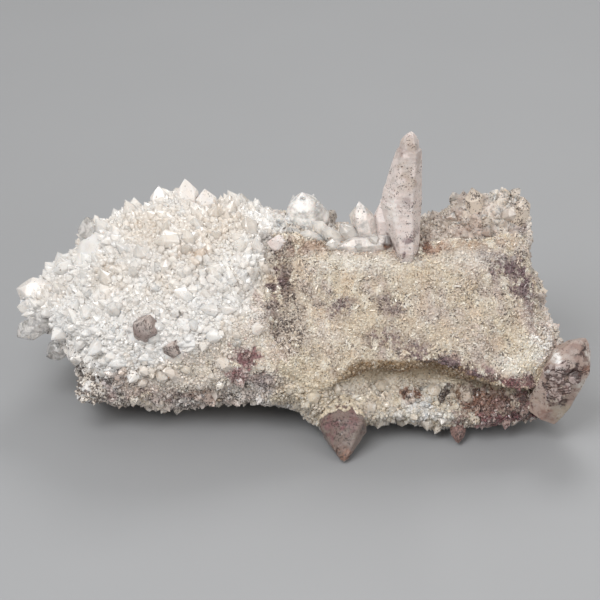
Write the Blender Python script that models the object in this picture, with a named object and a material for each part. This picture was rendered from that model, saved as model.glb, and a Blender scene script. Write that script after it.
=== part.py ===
"""Quartz cluster: one intergrown solid of vein quartz, with a drusy plate, a ledge and crystal points.

The body is a skin over rails that run along its length. Each rail is a line of knots (x, y, z), and at any x
the rails give the corners of one cross-section. Crystal points, hexagonal prisms with six-sided tips, are
joined to it by a Boolean union, so that the whole cluster is one closed solid.
+X runs along the cluster, -Y is the front, +Z is up, and it rests on the flat broken base at z = 0.
"""

import math

import bmesh
import bpy
import numpy as np
from mathutils import Matrix, Vector

# ---------------------------------------------------------------- driving dimensions (metres)
MM = 0.001
SECTIONS = 40  # cross-sections along the body
SPAN_STEPS = (1, 2, 2, 1, 5, 1, 2, 2, 3, 2)  # parts of each span from one rail to the next
ROUNDING = 0.32  # how far the skin bows between rails: 0 is straight, 0.5 is a full Catmull-Rom curve
LUMP_HEIGHT = 1.3 * MM
LUMP_PITCH = 27.0 * MM
BASE_FADE = 8.0 * MM  # the lumps fade out over this height above the base
END_FADE = 14.0 * MM  # and over this length at each end
SIDES = 6  # of a crystal
ROOTED = 1.2  # how deep a scattered point starts below the skin, in radii
SHORTEST, TALLEST = 0.6, 1.6  # how far its tip stands out of the skin, in radii
LEAN = np.array((-0.22, 0, 0.12))  # the way the scattered points lean, against a unit normal
SPREAD = 0.4  # how unlike one another their directions are
CHOICES = 14  # places drawn for each of them, of which it takes the one with most room
SEED = 6
QUARTZ_COLOUR = (0.79, 0.74, 0.69, 1)
QUARTZ_ROUGHNESS = 0.35

# Rails from the front of the base, up the front, over the crest and down the back. Millimetres.
RAILS = {
    "heel": [(-137, 0, 45), (-112, 2, 30), (-102, -4, 4), (-97, -6, 0), (-60, -13, 0), (-25, -8, 0),
             (0, -14, 0), (25, -26, 0), (90, -22, 0), (106, -16, 0), (114, -18, 5), (132, -37, 27)],
    "skirt": [(-137, -2, 44), (-112, -22, 33), (-104, -34, 18), (-90, -40, 14), (-60, -44, 15),
              (-30, -41, 17), (-6, -45, 13), (15, -52, 7), (45, -49, 7), (75, -49, 5), (100, -47, 5),
              (118, -46, 10), (132, -38, 27)],
    "crust": [(-137, -3, 46), (-112, -27, 42), (-90, -50, 30), (-60, -54, 32), (-30, -52, 32),
              (-6, -54, 26), (15, -58, 20), (75, -56, 16), (100, -55, 18), (118, -50, 22), (132, -40, 28)],
    "recess": [(-137, -3, 47), (-112, -28, 50), (-90, -51, 46), (-60, -55, 48), (-30, -52, 46),
               (-6, -54, 36), (6, -55, 30), (22, -46, 31), (45, -41, 30), (75, -40, 28), (100, -44, 26),
               (118, -46, 28), (132, -39, 29)],
    "ledge": [(-137, -3, 48), (-112, -27, 56), (-90, -49, 58), (-60, -52, 62), (-30, -48, 60),
              (-17, -42, 56), (-6, -52, 44), (14, -54, 35), (26, -51, 42), (59, -50, 44.5), (76, -51, 40),
              (93, -53, 35), (105, -54, 31), (118, -50, 32), (132, -39, 30)],
    "brow": [(-137, 0, 49), (-112, -15, 62), (-90, -27, 77), (-60, -28, 84), (-30, -22, 84), (-17, -13, 79),
             (-7, -9, 86), (25, -8, 82), (60, -8, 83), (90, -6, 84), (104, -4, 85), (109, -8, 81),
             (114, -20, 60), (124, -34, 40), (132, -39, 31)],
    "groove": [(-137, 1, 50), (-112, -2, 65), (-90, -8, 84), (-60, -6, 92), (-30, -4, 91), (-17, -2, 88),
               (-6, 1, 83), (25, -1, 78), (60, -1, 79), (90, 1, 81), (104, 3, 84), (109, -1, 80),
               (114, -16, 61), (132, -39, 31.5)],
    "crest": [(-137, 2, 50), (-128, 5, 57), (-112, 12, 68), (-105, 16, 78), (-90, 16, 86), (-75, 18, 91),
              (-60, 20, 97), (-45, 20, 92), (-30, 22, 91), (-17, 22, 86), (10, 20, 83), (20, 16, 80),
              (42, 12, 80), (60, 12, 84), (75, 14, 91), (84, 16, 99), (107, 16, 97), (111, 13, 94),
              (112, 4, 80), (117, -12, 60), (132, -38, 32)],
    "shoulder": [(-137, 4, 48), (-112, 32, 56), (-90, 44, 66), (-30, 50, 72), (30, 42, 66), (84, 44, 76),
                 (103, 38, 74), (109, 26, 64), (116, -2, 50), (132, -36, 30)],
    "waist": [(-137, 3, 46), (-112, 34, 42), (-90, 50, 34), (-30, 57, 34), (40, 52, 30), (90, 52, 34),
              (106, 40, 34), (117, 2, 32), (132, -36, 28)],
    "foot": [(-137, 1, 45), (-112, 22, 30), (-102, 32, 5), (-96, 36, 0), (-30, 44, 0), (40, 42, 0),
             (90, 40, 0), (106, 28, 0), (114, 16, 6), (132, -36, 27)],
}
HEEL, SKIRT, CRUST, RECESS, LEDGE, BROW, GROOVE, CREST, SHOULDER, WAIST, FOOT = range(len(RAILS))
LENGTH_START = RAILS["heel"][0][0] * MM
LENGTH_END = RAILS["heel"][-1][0] * MM

# The large points: root, tip, then (share of the length, radius) rings from root to shoulder. Millimetres.
# The tall one swells to the left at its middle, so its rings are also moved along X by a third number.
SPINDLE = [(0, 4.8, 0), (0.1, 5, 0), (0.34, 9, -1.5), (0.48, 10.6, -2.8), (0.66, 8.9, -2), (0.86, 6.2, -0.4),
           (0.93, 4.3, -0.5), (0.975, 2.2, -0.3)]
LARGE_POINTS = {
    "tall": ((50, -4, 70), (53, 0, 139.4), SPINDLE),
    "flank": ((44, -2, 70), (40.5, 1, 104), [(0, 6.6), (0.7, 6.4)]),
    "beside": ((36, -2, 73), (28.4, 0, 102.5), [(0, 4.8), (0.66, 5.0)]),
    "lying": ((44, -4.5, 83), (17, -9, 82), [(0, 4.8), (0.7, 4.2)]),
    "corner": ((2, -5, 80), (-16, -10, 85.5), [(0, 4.6), (0.75, 4.4)]),
    "dome": ((6, 25, 60), (1, 20, 97.5), [(0, 13.5), (0.6, 13.5), (0.84, 8)]),
    "peak": ((-54, 18, 84), (-56, 18, 106), [(0, 6.5), (0.62, 6.2)]),
    "peak_left": ((-66, 20, 82), (-69, 20, 101), [(0, 6), (0.66, 5.6)]),
    "peak_right": ((-45, 17, 82), (-46.5, 16, 101.5), [(0, 6.4), (0.7, 5.6)]),
    "clear_top": ((-99, 14, 60), (-104, 14, 87.5), [(0, 7), (0.7, 6.8)]),
    "clear_end": ((-112, -8, 50), (-137, -23, 40.5), [(0, 6.4), (0.8, 6.2)]),
    "clear_low": ((-108, -10, 34), (-124, -18, 27), [(0, 6), (0.72, 5.6)]),
    "prow": ((-120, 0, 50), (-139, 2, 54), [(0, 8.5), (0.66, 7.6)]),
    "prow_low": ((-122, 0, 45), (-138.5, -4, 47), [(0, 6.4), (0.7, 5.2)]),
    "spur": ((-92, -38, 27), (-107, -49, 21), [(0, 6.8), (0.66, 6.2)]),
    "brown": ((-75, -44, 55), (-76, -62, 63), [(0, 5.8), (0.62, 5.4)]),
    "brown_small": ((-60, -46, 46), (-60, -61, 52.5), [(0, 4.6), (0.7, 4.2)]),
    "keel": ((20, -34, 27), (21, -74.5, 1.4),
             [(0, 6), (0.3, 6.4), (0.45, 9), (0.55, 12.2), (0.64, 12.6), (0.88, 4.8)]),
    "end": ((116, -50, 13), (136, -43, 51), [(0, 9), (0.25, 11.6), (0.68, 11.6), (0.88, 7.2)]),
    "toe": ((76, -45, 10), (76, -58.5, 2), [(0, 4.2), (0.6, 3.8)]),
}

# Scattered points by zone: x from and to, rails from and to, how many, least and most radius. Millimetres.
ZONES = {
    "field": (-136, -14, SKIRT + 0.4, SHOULDER, 110, 2.6, 5.2),
    "crest": (-12, 110, BROW + 0.9, SHOULDER - 0.2, 22, 2.2, 3.8),
    "crust": (-12, 120, SKIRT + 0.2, RECESS - 0.1, 24, 2.2, 4),
    "back": (-128, 104, SHOULDER - 0.2, FOOT - 0.5, 30, 4, 8),
    "right": (104, 126, SHOULDER + 0.4, FOOT - 0.6, 8, 3, 5.5),
}


def smooth_line(x, knots, values):
    """A monotone cubic through the knots: its slopes are harmonic means, so it never overshoots."""
    steps, rises = np.diff(knots), np.diff(values)
    slopes = rises / steps
    before, after = slopes[:-1], slopes[1:]
    together = before * after > 0
    middle = np.where(together, 2 * before * after / np.where(together, before + after, 1), 0)
    tangents = np.concatenate([slopes[:1], middle, slopes[-1:]])
    i = np.clip(np.searchsorted(knots, x) - 1, 0, len(steps) - 1)
    t = (x - knots[i]) / steps[i]
    start = (1 + 2 * t) * (1 - t) ** 2 * values[i] + t * (1 - t) ** 2 * steps[i] * tangents[i]
    return start + t * t * (3 - 2 * t) * values[i + 1] + t * t * (t - 1) * steps[i] * tangents[i + 1]


def rail_points(x):
    """The cross-section corners at each x, as an array (x, rail, (y, z))."""
    corners = []
    for knots in RAILS.values():
        line = np.array(knots) * MM
        corners.append(np.stack([smooth_line(x, line[:, 0], line[:, k]) for k in (1, 2)], axis=-1))
    return np.stack(corners, axis=1)


def skin(x, around):
    """Points of the skin at every x and every place around, which counts rails from 0 at the heel."""
    corners = rail_points(x)
    count = corners.shape[1]
    i = np.floor(around).astype(int) % count
    t = (around - np.floor(around))[None, :, None]
    a, b, c, d = (corners[:, (i + k) % count] for k in (-1, 0, 1, 2))
    leave, arrive = ROUNDING * (c - a), ROUNDING * (d - b)
    bowed = (2 * t**3 - 3 * t**2 + 1) * b + (t**3 - 2 * t**2 + t) * leave
    bowed = bowed + (3 * t**2 - 2 * t**3) * c + (t**3 - t**2) * arrive
    straight = b + (c - b) * t
    section = np.where((i == FOOT)[None, :, None], straight, bowed)
    points = np.concatenate([np.broadcast_to(x[:, None, None], section.shape[:2] + (1,)), section], axis=-1)
    points[..., 2] = np.maximum(points[..., 2], 0)
    return points


def outward(points):
    """Unit normals of a grid of points whose second direction is closed."""
    along = np.gradient(points, axis=0)
    around = np.roll(points, -1, axis=1) - np.roll(points, 1, axis=1)
    normal = np.cross(along, around)
    return normal / np.maximum(np.linalg.norm(normal, axis=-1, keepdims=True), 1e-12)


def lumps(points, pitch):
    """Soft knobs: two crossing waves multiplied, and a slower slanting one added."""
    p = points * (2 * math.pi / pitch)
    x, y, z = p[..., 0], p[..., 1], p[..., 2]
    knobs = np.sin(x + 0.6 * np.sin(0.7 * y)) * np.cos(0.8 * y + 0.5 * z + 1.3)
    return knobs + 0.5 * np.sin(1.3 * z - 0.4 * x)


def body_grid(x, around):
    """The skin with its lumps, which fade out towards the flat base and the two ends."""
    points = skin(x, around)
    clear_of_base = np.clip(points[..., 2] / BASE_FADE, 0, 1)
    clear_of_ends = np.clip(np.minimum(x - LENGTH_START, LENGTH_END - x) / END_FADE, 0, 1)[:, None]
    height = LUMP_HEIGHT * lumps(points, LUMP_PITCH) * clear_of_base * clear_of_ends
    return points + outward(points) * height[..., None]


def new_object(name, mesh, collection):
    obj = bpy.data.objects.new(name, mesh)
    collection.objects.link(obj)
    return obj


def quartz_material():
    material = bpy.data.materials.new("quartz")
    material.use_nodes = True
    shader = material.node_tree.nodes["Principled BSDF"]
    shader.inputs["Base Color"].default_value = QUARTZ_COLOUR
    shader.inputs["Roughness"].default_value = QUARTZ_ROUGHNESS
    shader.inputs["Metallic"].default_value = 0
    return material


def body_mesh():
    """A loft through the unlike cross-sections, closed by a fan at each end."""
    x = np.linspace(LENGTH_START, LENGTH_END, SECTIONS)
    spans = [np.arange(steps) / steps + rail for rail, steps in enumerate(SPAN_STEPS)]
    around = np.concatenate([*spans, [FOOT]])
    grid = body_grid(x, around)
    rows, columns = grid.shape[:2]
    index = np.arange(rows * columns).reshape(rows, columns)
    following = np.roll(index, -1, axis=1)
    quads = np.stack([index[:-1], index[1:], following[1:], following[:-1]], axis=-1).reshape(-1, 4)
    points = [*grid.reshape(-1, 3), grid[0].mean(axis=0), grid[-1].mean(axis=0)]
    first, last = rows * columns, rows * columns + 1
    fans = [(first, a, b) for a, b in zip(index[0], following[0])]
    fans += [(last, b, a) for a, b in zip(index[-1], following[-1])]
    mesh = bpy.data.meshes.new("body")
    mesh.from_pydata([tuple(p) for p in points], [], [*map(tuple, quads), *fans])
    shape = bmesh.new()
    shape.from_mesh(mesh)
    bmesh.ops.recalc_face_normals(shape, faces=shape.faces)
    shape.to_mesh(mesh)
    shape.free()
    return mesh


def crystal_mesh(name, root, tip, rings, roll, slant):
    """A six-sided point: a hexagon drawn up through its rings, then gathered to a tip set off by slant."""
    shape = bmesh.new()
    length = (tip - root).length
    (_, root_radius, _), (share, radius, shift), *higher = rings
    bmesh.ops.create_cone(shape, cap_ends=True, segments=SIDES, radius1=root_radius, radius2=radius,
                          depth=share * length, matrix=Matrix.Rotation(roll, 4, "Z"))
    bmesh.ops.translate(shape, vec=(0, 0, share * length / 2), verts=shape.verts)
    end = max(shape.faces, key=lambda face: face.calc_center_median().z)
    for share, next_radius, next_shift in higher:
        end = bmesh.ops.extrude_discrete_faces(shape, faces=[end])["faces"][0]
        for corner in end.verts:
            corner.co.x = (corner.co.x - shift) * next_radius / radius + next_shift
            corner.co.y *= next_radius / radius
            corner.co.z = share * length
        radius, shift = next_radius, next_shift
    crown = bmesh.ops.poke(shape, faces=[end])["verts"][0]
    crown.co = (slant[0] * radius, slant[1] * radius, length)
    bmesh.ops.recalc_face_normals(shape, faces=shape.faces)
    stand = Vector((0, 0, 1)).rotation_difference(tip - root).to_matrix().to_4x4()
    shape.transform(Matrix.Translation(root) @ stand)
    mesh = bpy.data.meshes.new(name)
    shape.to_mesh(mesh)
    shape.free()
    return mesh


def scattered(random):
    """Scattered points as (foot on the skin, direction, radius): each takes the roomiest of a few places."""
    x = np.linspace(LENGTH_START, LENGTH_END, 140)
    around = np.arange(0, len(RAILS), 0.1)
    grid = body_grid(x, around)
    along = np.linalg.norm(np.gradient(grid, axis=0), axis=-1)
    area = along * np.linalg.norm(np.roll(grid, -1, axis=1) - grid, axis=-1)
    normals = outward(grid).reshape(-1, 3)
    feet = grid.reshape(-1, 3)
    taken = [((np.array(root) + tip) / 2 * MM, rings[0][1] * MM)
             for root, tip, rings in LARGE_POINTS.values()]
    for x_from, x_to, rail_from, rail_to, count, least, most in ZONES.values():
        inside = (x[:, None] >= x_from * MM) & (x[:, None] <= x_to * MM)
        inside = inside & (around[None, :] >= rail_from) & (around[None, :] <= rail_to)
        chance = (area * inside).ravel()
        for _ in range(count):
            radius = (least + (most - least) * random.random() ** 1.3) * MM
            places = random.choice(chance.size, size=CHOICES, p=chance / chance.sum())
            directions = normals[places] + random.normal(0, SPREAD, 3) + LEAN
            directions /= np.linalg.norm(directions, axis=1, keepdims=True)
            spots = feet[places]
            room = np.min([np.linalg.norm(spots - foot, axis=1) - reach for foot, reach in taken], axis=0)
            drop = np.maximum(-directions[:, 2] * TALLEST, directions[:, 2] * ROOTED) + 1
            best = np.argmax(np.where(spots[:, 2] > drop * radius, room, -1))
            taken.append((spots[best], radius))
            yield Vector(spots[best]), Vector(directions[best]), radius


def points_of(random):
    """Every crystal point as (name, root, tip, rings, roll, slant), in metres."""
    for name, (root, tip, rings) in LARGE_POINTS.items():
        sized = [(share, radius * MM, sum(shift) * MM) for share, radius, *shift in rings]
        yield name, Vector(root) * MM, Vector(tip) * MM, sized, random.uniform(0, math.pi / 3), (0, 0)
    for number, (foot, direction, radius) in enumerate(scattered(random)):
        root = foot - direction * ROOTED * radius
        tip = foot + direction * random.uniform(SHORTEST, TALLEST) * radius
        shoulder = 1 - radius * random.uniform(0.8, 1.3) / (tip - root).length
        rings = [(0, radius, 0), (shoulder, radius * random.uniform(0.78, 1), 0)]
        roll, slant = random.uniform(0, math.pi / 3), random.uniform(-0.4, 0.4, 2)
        yield f"point_{number:03d}", root, tip, rings, roll, slant


def main():
    for obj in list(bpy.data.objects):
        bpy.data.objects.remove(obj)
    cluster = bpy.data.collections.new("quartz cluster")
    grown = bpy.data.collections.new("points to join")
    for collection in (cluster, grown):
        bpy.context.scene.collection.children.link(collection)
    body = new_object("quartz_cluster", body_mesh(), cluster)
    body.data.materials.append(quartz_material())
    for name, *shape in points_of(np.random.default_rng(SEED)):
        point = new_object(name, crystal_mesh(name, *shape), grown)
        point.hide_render = True
        point.display_type = "WIRE"
    join = body.modifiers.new("join points", "BOOLEAN")
    join.operation = "UNION"
    join.operand_type = "COLLECTION"
    join.collection = grown


main()
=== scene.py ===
"""Looks of the quartz cluster: its drusy plate, glassy crusts and crystal points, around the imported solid.

Every surface grows on the same skin as the solid: rails along +X, bowed between, with soft lumps. Small
crystals are laid out over that skin in whole arrays, and the large ones are six-sided surfaces of their own.
"""

import math

import bpy
import numpy as np
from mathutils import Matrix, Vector


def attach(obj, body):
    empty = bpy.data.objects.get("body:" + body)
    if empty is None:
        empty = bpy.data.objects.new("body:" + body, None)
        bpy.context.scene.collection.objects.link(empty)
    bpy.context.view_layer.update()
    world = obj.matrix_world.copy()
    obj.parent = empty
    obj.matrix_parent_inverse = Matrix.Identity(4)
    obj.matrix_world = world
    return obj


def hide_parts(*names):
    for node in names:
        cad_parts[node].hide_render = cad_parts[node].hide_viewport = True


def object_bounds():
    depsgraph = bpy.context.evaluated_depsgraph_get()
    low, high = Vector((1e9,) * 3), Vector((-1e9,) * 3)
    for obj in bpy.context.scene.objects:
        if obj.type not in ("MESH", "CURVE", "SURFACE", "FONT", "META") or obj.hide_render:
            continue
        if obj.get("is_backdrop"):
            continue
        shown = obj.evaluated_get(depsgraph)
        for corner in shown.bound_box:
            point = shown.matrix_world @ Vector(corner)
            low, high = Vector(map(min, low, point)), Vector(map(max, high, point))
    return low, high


bl_info = {
    "name": "Quartz cluster",
    "version": (1, 0, 0),
    "blender": (4, 5, 0),
    "location": "3D View > Sidebar > Quartz",
    "description": "Builds a drusy quartz cluster and its studio around the packed solid",
    "category": "Object",
}

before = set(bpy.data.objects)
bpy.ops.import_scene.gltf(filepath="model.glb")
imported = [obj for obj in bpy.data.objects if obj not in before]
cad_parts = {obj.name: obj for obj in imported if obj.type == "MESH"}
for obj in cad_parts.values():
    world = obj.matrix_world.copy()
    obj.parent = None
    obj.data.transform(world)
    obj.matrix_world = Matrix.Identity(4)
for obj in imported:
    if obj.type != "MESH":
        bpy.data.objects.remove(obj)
CAD_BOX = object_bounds()

BODY = "root"
NODE = "quartz_cluster"
FLOOR = 2.5  # half the floor's side, in metres
MM = 0.001

# ---------------------------------------------------------------- the shape that the solid has too
ROUNDING = 0.32  # how far the skin bows between rails: 0 is straight, 0.5 is a full Catmull-Rom curve
LUMP_HEIGHT = 1.3 * MM
LUMP_PITCH = 27.0 * MM
BASE_FADE = 8.0 * MM  # the lumps fade out over this height above the base
END_FADE = 14.0 * MM  # and over this length at each end
ROOTED = 1.2  # how deep a scattered point starts below the skin, in radii
SHORTEST, TALLEST = 0.6, 1.6  # how far its tip stands out of the skin, in radii
LEAN = np.array((-0.22, 0, 0.12))  # the way the scattered points lean, against a unit normal
SPREAD = 0.4  # how unlike one another their directions are
CHOICES = 14  # places drawn for each of them, of which it takes the one with most room
SEED = 6

# Rails from the front of the base, up the front, over the crest and down the back. Millimetres.
RAILS = {
    "heel": [(-137, 0, 45), (-112, 2, 30), (-102, -4, 4), (-97, -6, 0), (-60, -13, 0), (-25, -8, 0),
             (0, -14, 0), (25, -26, 0), (90, -22, 0), (106, -16, 0), (114, -18, 5), (132, -37, 27)],
    "skirt": [(-137, -2, 44), (-112, -22, 33), (-104, -34, 18), (-90, -40, 14), (-60, -44, 15),
              (-30, -41, 17), (-6, -45, 13), (15, -52, 7), (45, -49, 7), (75, -49, 5), (100, -47, 5),
              (118, -46, 10), (132, -38, 27)],
    "crust": [(-137, -3, 46), (-112, -27, 42), (-90, -50, 30), (-60, -54, 32), (-30, -52, 32),
              (-6, -54, 26), (15, -58, 20), (75, -56, 16), (100, -55, 18), (118, -50, 22), (132, -40, 28)],
    "recess": [(-137, -3, 47), (-112, -28, 50), (-90, -51, 46), (-60, -55, 48), (-30, -52, 46),
               (-6, -54, 36), (6, -55, 30), (22, -46, 31), (45, -41, 30), (75, -40, 28), (100, -44, 26),
               (118, -46, 28), (132, -39, 29)],
    "ledge": [(-137, -3, 48), (-112, -27, 56), (-90, -49, 58), (-60, -52, 62), (-30, -48, 60),
              (-17, -42, 56), (-6, -52, 44), (14, -54, 35), (26, -51, 42), (59, -50, 44.5), (76, -51, 40),
              (93, -53, 35), (105, -54, 31), (118, -50, 32), (132, -39, 30)],
    "brow": [(-137, 0, 49), (-112, -15, 62), (-90, -27, 77), (-60, -28, 84), (-30, -22, 84), (-17, -13, 79),
             (-7, -9, 86), (25, -8, 82), (60, -8, 83), (90, -6, 84), (104, -4, 85), (109, -8, 81),
             (114, -20, 60), (124, -34, 40), (132, -39, 31)],
    "groove": [(-137, 1, 50), (-112, -2, 65), (-90, -8, 84), (-60, -6, 92), (-30, -4, 91), (-17, -2, 88),
               (-6, 1, 83), (25, -1, 78), (60, -1, 79), (90, 1, 81), (104, 3, 84), (109, -1, 80),
               (114, -16, 61), (132, -39, 31.5)],
    "crest": [(-137, 2, 50), (-128, 5, 57), (-112, 12, 68), (-105, 16, 78), (-90, 16, 86), (-75, 18, 91),
              (-60, 20, 97), (-45, 20, 92), (-30, 22, 91), (-17, 22, 86), (10, 20, 83), (20, 16, 80),
              (42, 12, 80), (60, 12, 84), (75, 14, 91), (84, 16, 99), (107, 16, 97), (111, 13, 94),
              (112, 4, 80), (117, -12, 60), (132, -38, 32)],
    "shoulder": [(-137, 4, 48), (-112, 32, 56), (-90, 44, 66), (-30, 50, 72), (30, 42, 66), (84, 44, 76),
                 (103, 38, 74), (109, 26, 64), (116, -2, 50), (132, -36, 30)],
    "waist": [(-137, 3, 46), (-112, 34, 42), (-90, 50, 34), (-30, 57, 34), (40, 52, 30), (90, 52, 34),
              (106, 40, 34), (117, 2, 32), (132, -36, 28)],
    "foot": [(-137, 1, 45), (-112, 22, 30), (-102, 32, 5), (-96, 36, 0), (-30, 44, 0), (40, 42, 0),
             (90, 40, 0), (106, 28, 0), (114, 16, 6), (132, -36, 27)],
}
HEEL, SKIRT, CRUST, RECESS, LEDGE, BROW, GROOVE, CREST, SHOULDER, WAIST, FOOT = range(len(RAILS))

LENGTH_START = RAILS["heel"][0][0] * MM
LENGTH_END = RAILS["heel"][-1][0] * MM

# The large points: root, tip, then (share of the length, radius) rings from root to shoulder. Millimetres.
# The tall one swells to the left at its middle, so its rings are also moved along X by a third number.
SPINDLE = [(0, 4.8, 0), (0.1, 5, 0), (0.34, 9, -1.5), (0.48, 10.6, -2.8), (0.66, 8.9, -2), (0.86, 6.2, -0.4),
           (0.93, 4.3, -0.5), (0.975, 2.2, -0.3)]
LARGE_POINTS = {
    "tall": ((50, -4, 70), (53, 0, 139.4), SPINDLE),
    "flank": ((44, -2, 70), (40.5, 1, 104), [(0, 6.6), (0.7, 6.4)]),
    "beside": ((36, -2, 73), (28.4, 0, 102.5), [(0, 4.8), (0.66, 5.0)]),
    "lying": ((44, -4.5, 83), (17, -9, 82), [(0, 4.8), (0.7, 4.2)]),
    "corner": ((2, -5, 80), (-16, -10, 85.5), [(0, 4.6), (0.75, 4.4)]),
    "dome": ((6, 25, 60), (1, 20, 97.5), [(0, 13.5), (0.6, 13.5), (0.84, 8)]),
    "peak": ((-54, 18, 84), (-56, 18, 106), [(0, 6.5), (0.62, 6.2)]),
    "peak_left": ((-66, 20, 82), (-69, 20, 101), [(0, 6), (0.66, 5.6)]),
    "peak_right": ((-45, 17, 82), (-46.5, 16, 101.5), [(0, 6.4), (0.7, 5.6)]),
    "clear_top": ((-99, 14, 60), (-104, 14, 87.5), [(0, 7), (0.7, 6.8)]),
    "clear_end": ((-112, -8, 50), (-137, -23, 40.5), [(0, 6.4), (0.8, 6.2)]),
    "clear_low": ((-108, -10, 34), (-124, -18, 27), [(0, 6), (0.72, 5.6)]),
    "prow": ((-120, 0, 50), (-139, 2, 54), [(0, 8.5), (0.66, 7.6)]),
    "prow_low": ((-122, 0, 45), (-138.5, -4, 47), [(0, 6.4), (0.7, 5.2)]),
    "spur": ((-92, -38, 27), (-107, -49, 21), [(0, 6.8), (0.66, 6.2)]),
    "brown": ((-75, -44, 55), (-76, -62, 63), [(0, 5.8), (0.62, 5.4)]),
    "brown_small": ((-60, -46, 46), (-60, -61, 52.5), [(0, 4.6), (0.7, 4.2)]),
    "keel": ((20, -34, 27), (21, -74.5, 1.4),
             [(0, 6), (0.3, 6.4), (0.45, 9), (0.55, 12.2), (0.64, 12.6), (0.88, 4.8)]),
    "end": ((116, -50, 13), (136, -43, 51), [(0, 9), (0.25, 11.6), (0.68, 11.6), (0.88, 7.2)]),
    "toe": ((76, -45, 10), (76, -58.5, 2), [(0, 4.2), (0.6, 3.8)]),
}

# Scattered points by zone: x from and to, rails from and to, how many, least and most radius. Millimetres.
ZONES = {
    "field": (-136, -14, SKIRT + 0.4, SHOULDER, 110, 2.6, 5.2),
    "crest": (-12, 110, BROW + 0.9, SHOULDER - 0.2, 22, 2.2, 3.8),
    "crust": (-12, 120, SKIRT + 0.2, RECESS - 0.1, 24, 2.2, 4),
    "back": (-128, 104, SHOULDER - 0.2, FOOT - 0.5, 30, 4, 8),
    "right": (104, 126, SHOULDER + 0.4, FOOT - 0.6, 8, 3, 5.5),
}


def smooth_line(x, knots, values):
    """A monotone cubic through the knots: its slopes are harmonic means, so it never overshoots."""
    steps, rises = np.diff(knots), np.diff(values)
    slopes = rises / steps
    before, after = slopes[:-1], slopes[1:]
    together = before * after > 0
    middle = np.where(together, 2 * before * after / np.where(together, before + after, 1), 0)
    tangents = np.concatenate([slopes[:1], middle, slopes[-1:]])
    i = np.clip(np.searchsorted(knots, x) - 1, 0, len(steps) - 1)
    t = (x - knots[i]) / steps[i]
    start = (1 + 2 * t) * (1 - t) ** 2 * values[i] + t * (1 - t) ** 2 * steps[i] * tangents[i]
    return start + t * t * (3 - 2 * t) * values[i + 1] + t * t * (t - 1) * steps[i] * tangents[i + 1]


def rail_points(x):
    """The cross-section corners at each x, as an array (x, rail, (y, z))."""
    corners = []
    for knots in RAILS.values():
        line = np.array(knots) * MM
        corners.append(np.stack([smooth_line(x, line[:, 0], line[:, k]) for k in (1, 2)], axis=-1))
    return np.stack(corners, axis=1)


def skin(x, around):
    """Points of the skin at every x and every place around, which counts rails from 0 at the heel."""
    corners = rail_points(x)
    count = corners.shape[1]
    i = np.floor(around).astype(int) % count
    t = (around - np.floor(around))[None, :, None]
    a, b, c, d = (corners[:, (i + k) % count] for k in (-1, 0, 1, 2))
    leave, arrive = ROUNDING * (c - a), ROUNDING * (d - b)
    bowed = (2 * t**3 - 3 * t**2 + 1) * b + (t**3 - 2 * t**2 + t) * leave
    bowed = bowed + (3 * t**2 - 2 * t**3) * c + (t**3 - t**2) * arrive
    straight = b + (c - b) * t
    section = np.where((i == FOOT)[None, :, None], straight, bowed)
    points = np.concatenate([np.broadcast_to(x[:, None, None], section.shape[:2] + (1,)), section], axis=-1)
    points[..., 2] = np.maximum(points[..., 2], 0)
    return points


def outward(points):
    """Unit normals of a grid of points whose second direction is closed."""
    along = np.gradient(points, axis=0)
    around = np.roll(points, -1, axis=1) - np.roll(points, 1, axis=1)
    normal = np.cross(along, around)
    return normal / np.maximum(np.linalg.norm(normal, axis=-1, keepdims=True), 1e-12)


def lumps(points, pitch):
    """Soft knobs: two crossing waves multiplied, and a slower slanting one added."""
    p = points * (2 * math.pi / pitch)
    x, y, z = p[..., 0], p[..., 1], p[..., 2]
    knobs = np.sin(x + 0.6 * np.sin(0.7 * y)) * np.cos(0.8 * y + 0.5 * z + 1.3)
    return knobs + 0.5 * np.sin(1.3 * z - 0.4 * x)


def body_grid(x, around):
    """The skin with its lumps, which fade out towards the flat base and the two ends."""
    points = skin(x, around)
    clear_of_base = np.clip(points[..., 2] / BASE_FADE, 0, 1)
    clear_of_ends = np.clip(np.minimum(x - LENGTH_START, LENGTH_END - x) / END_FADE, 0, 1)[:, None]
    height = LUMP_HEIGHT * lumps(points, LUMP_PITCH) * clear_of_base * clear_of_ends
    return points + outward(points) * height[..., None]


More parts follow.
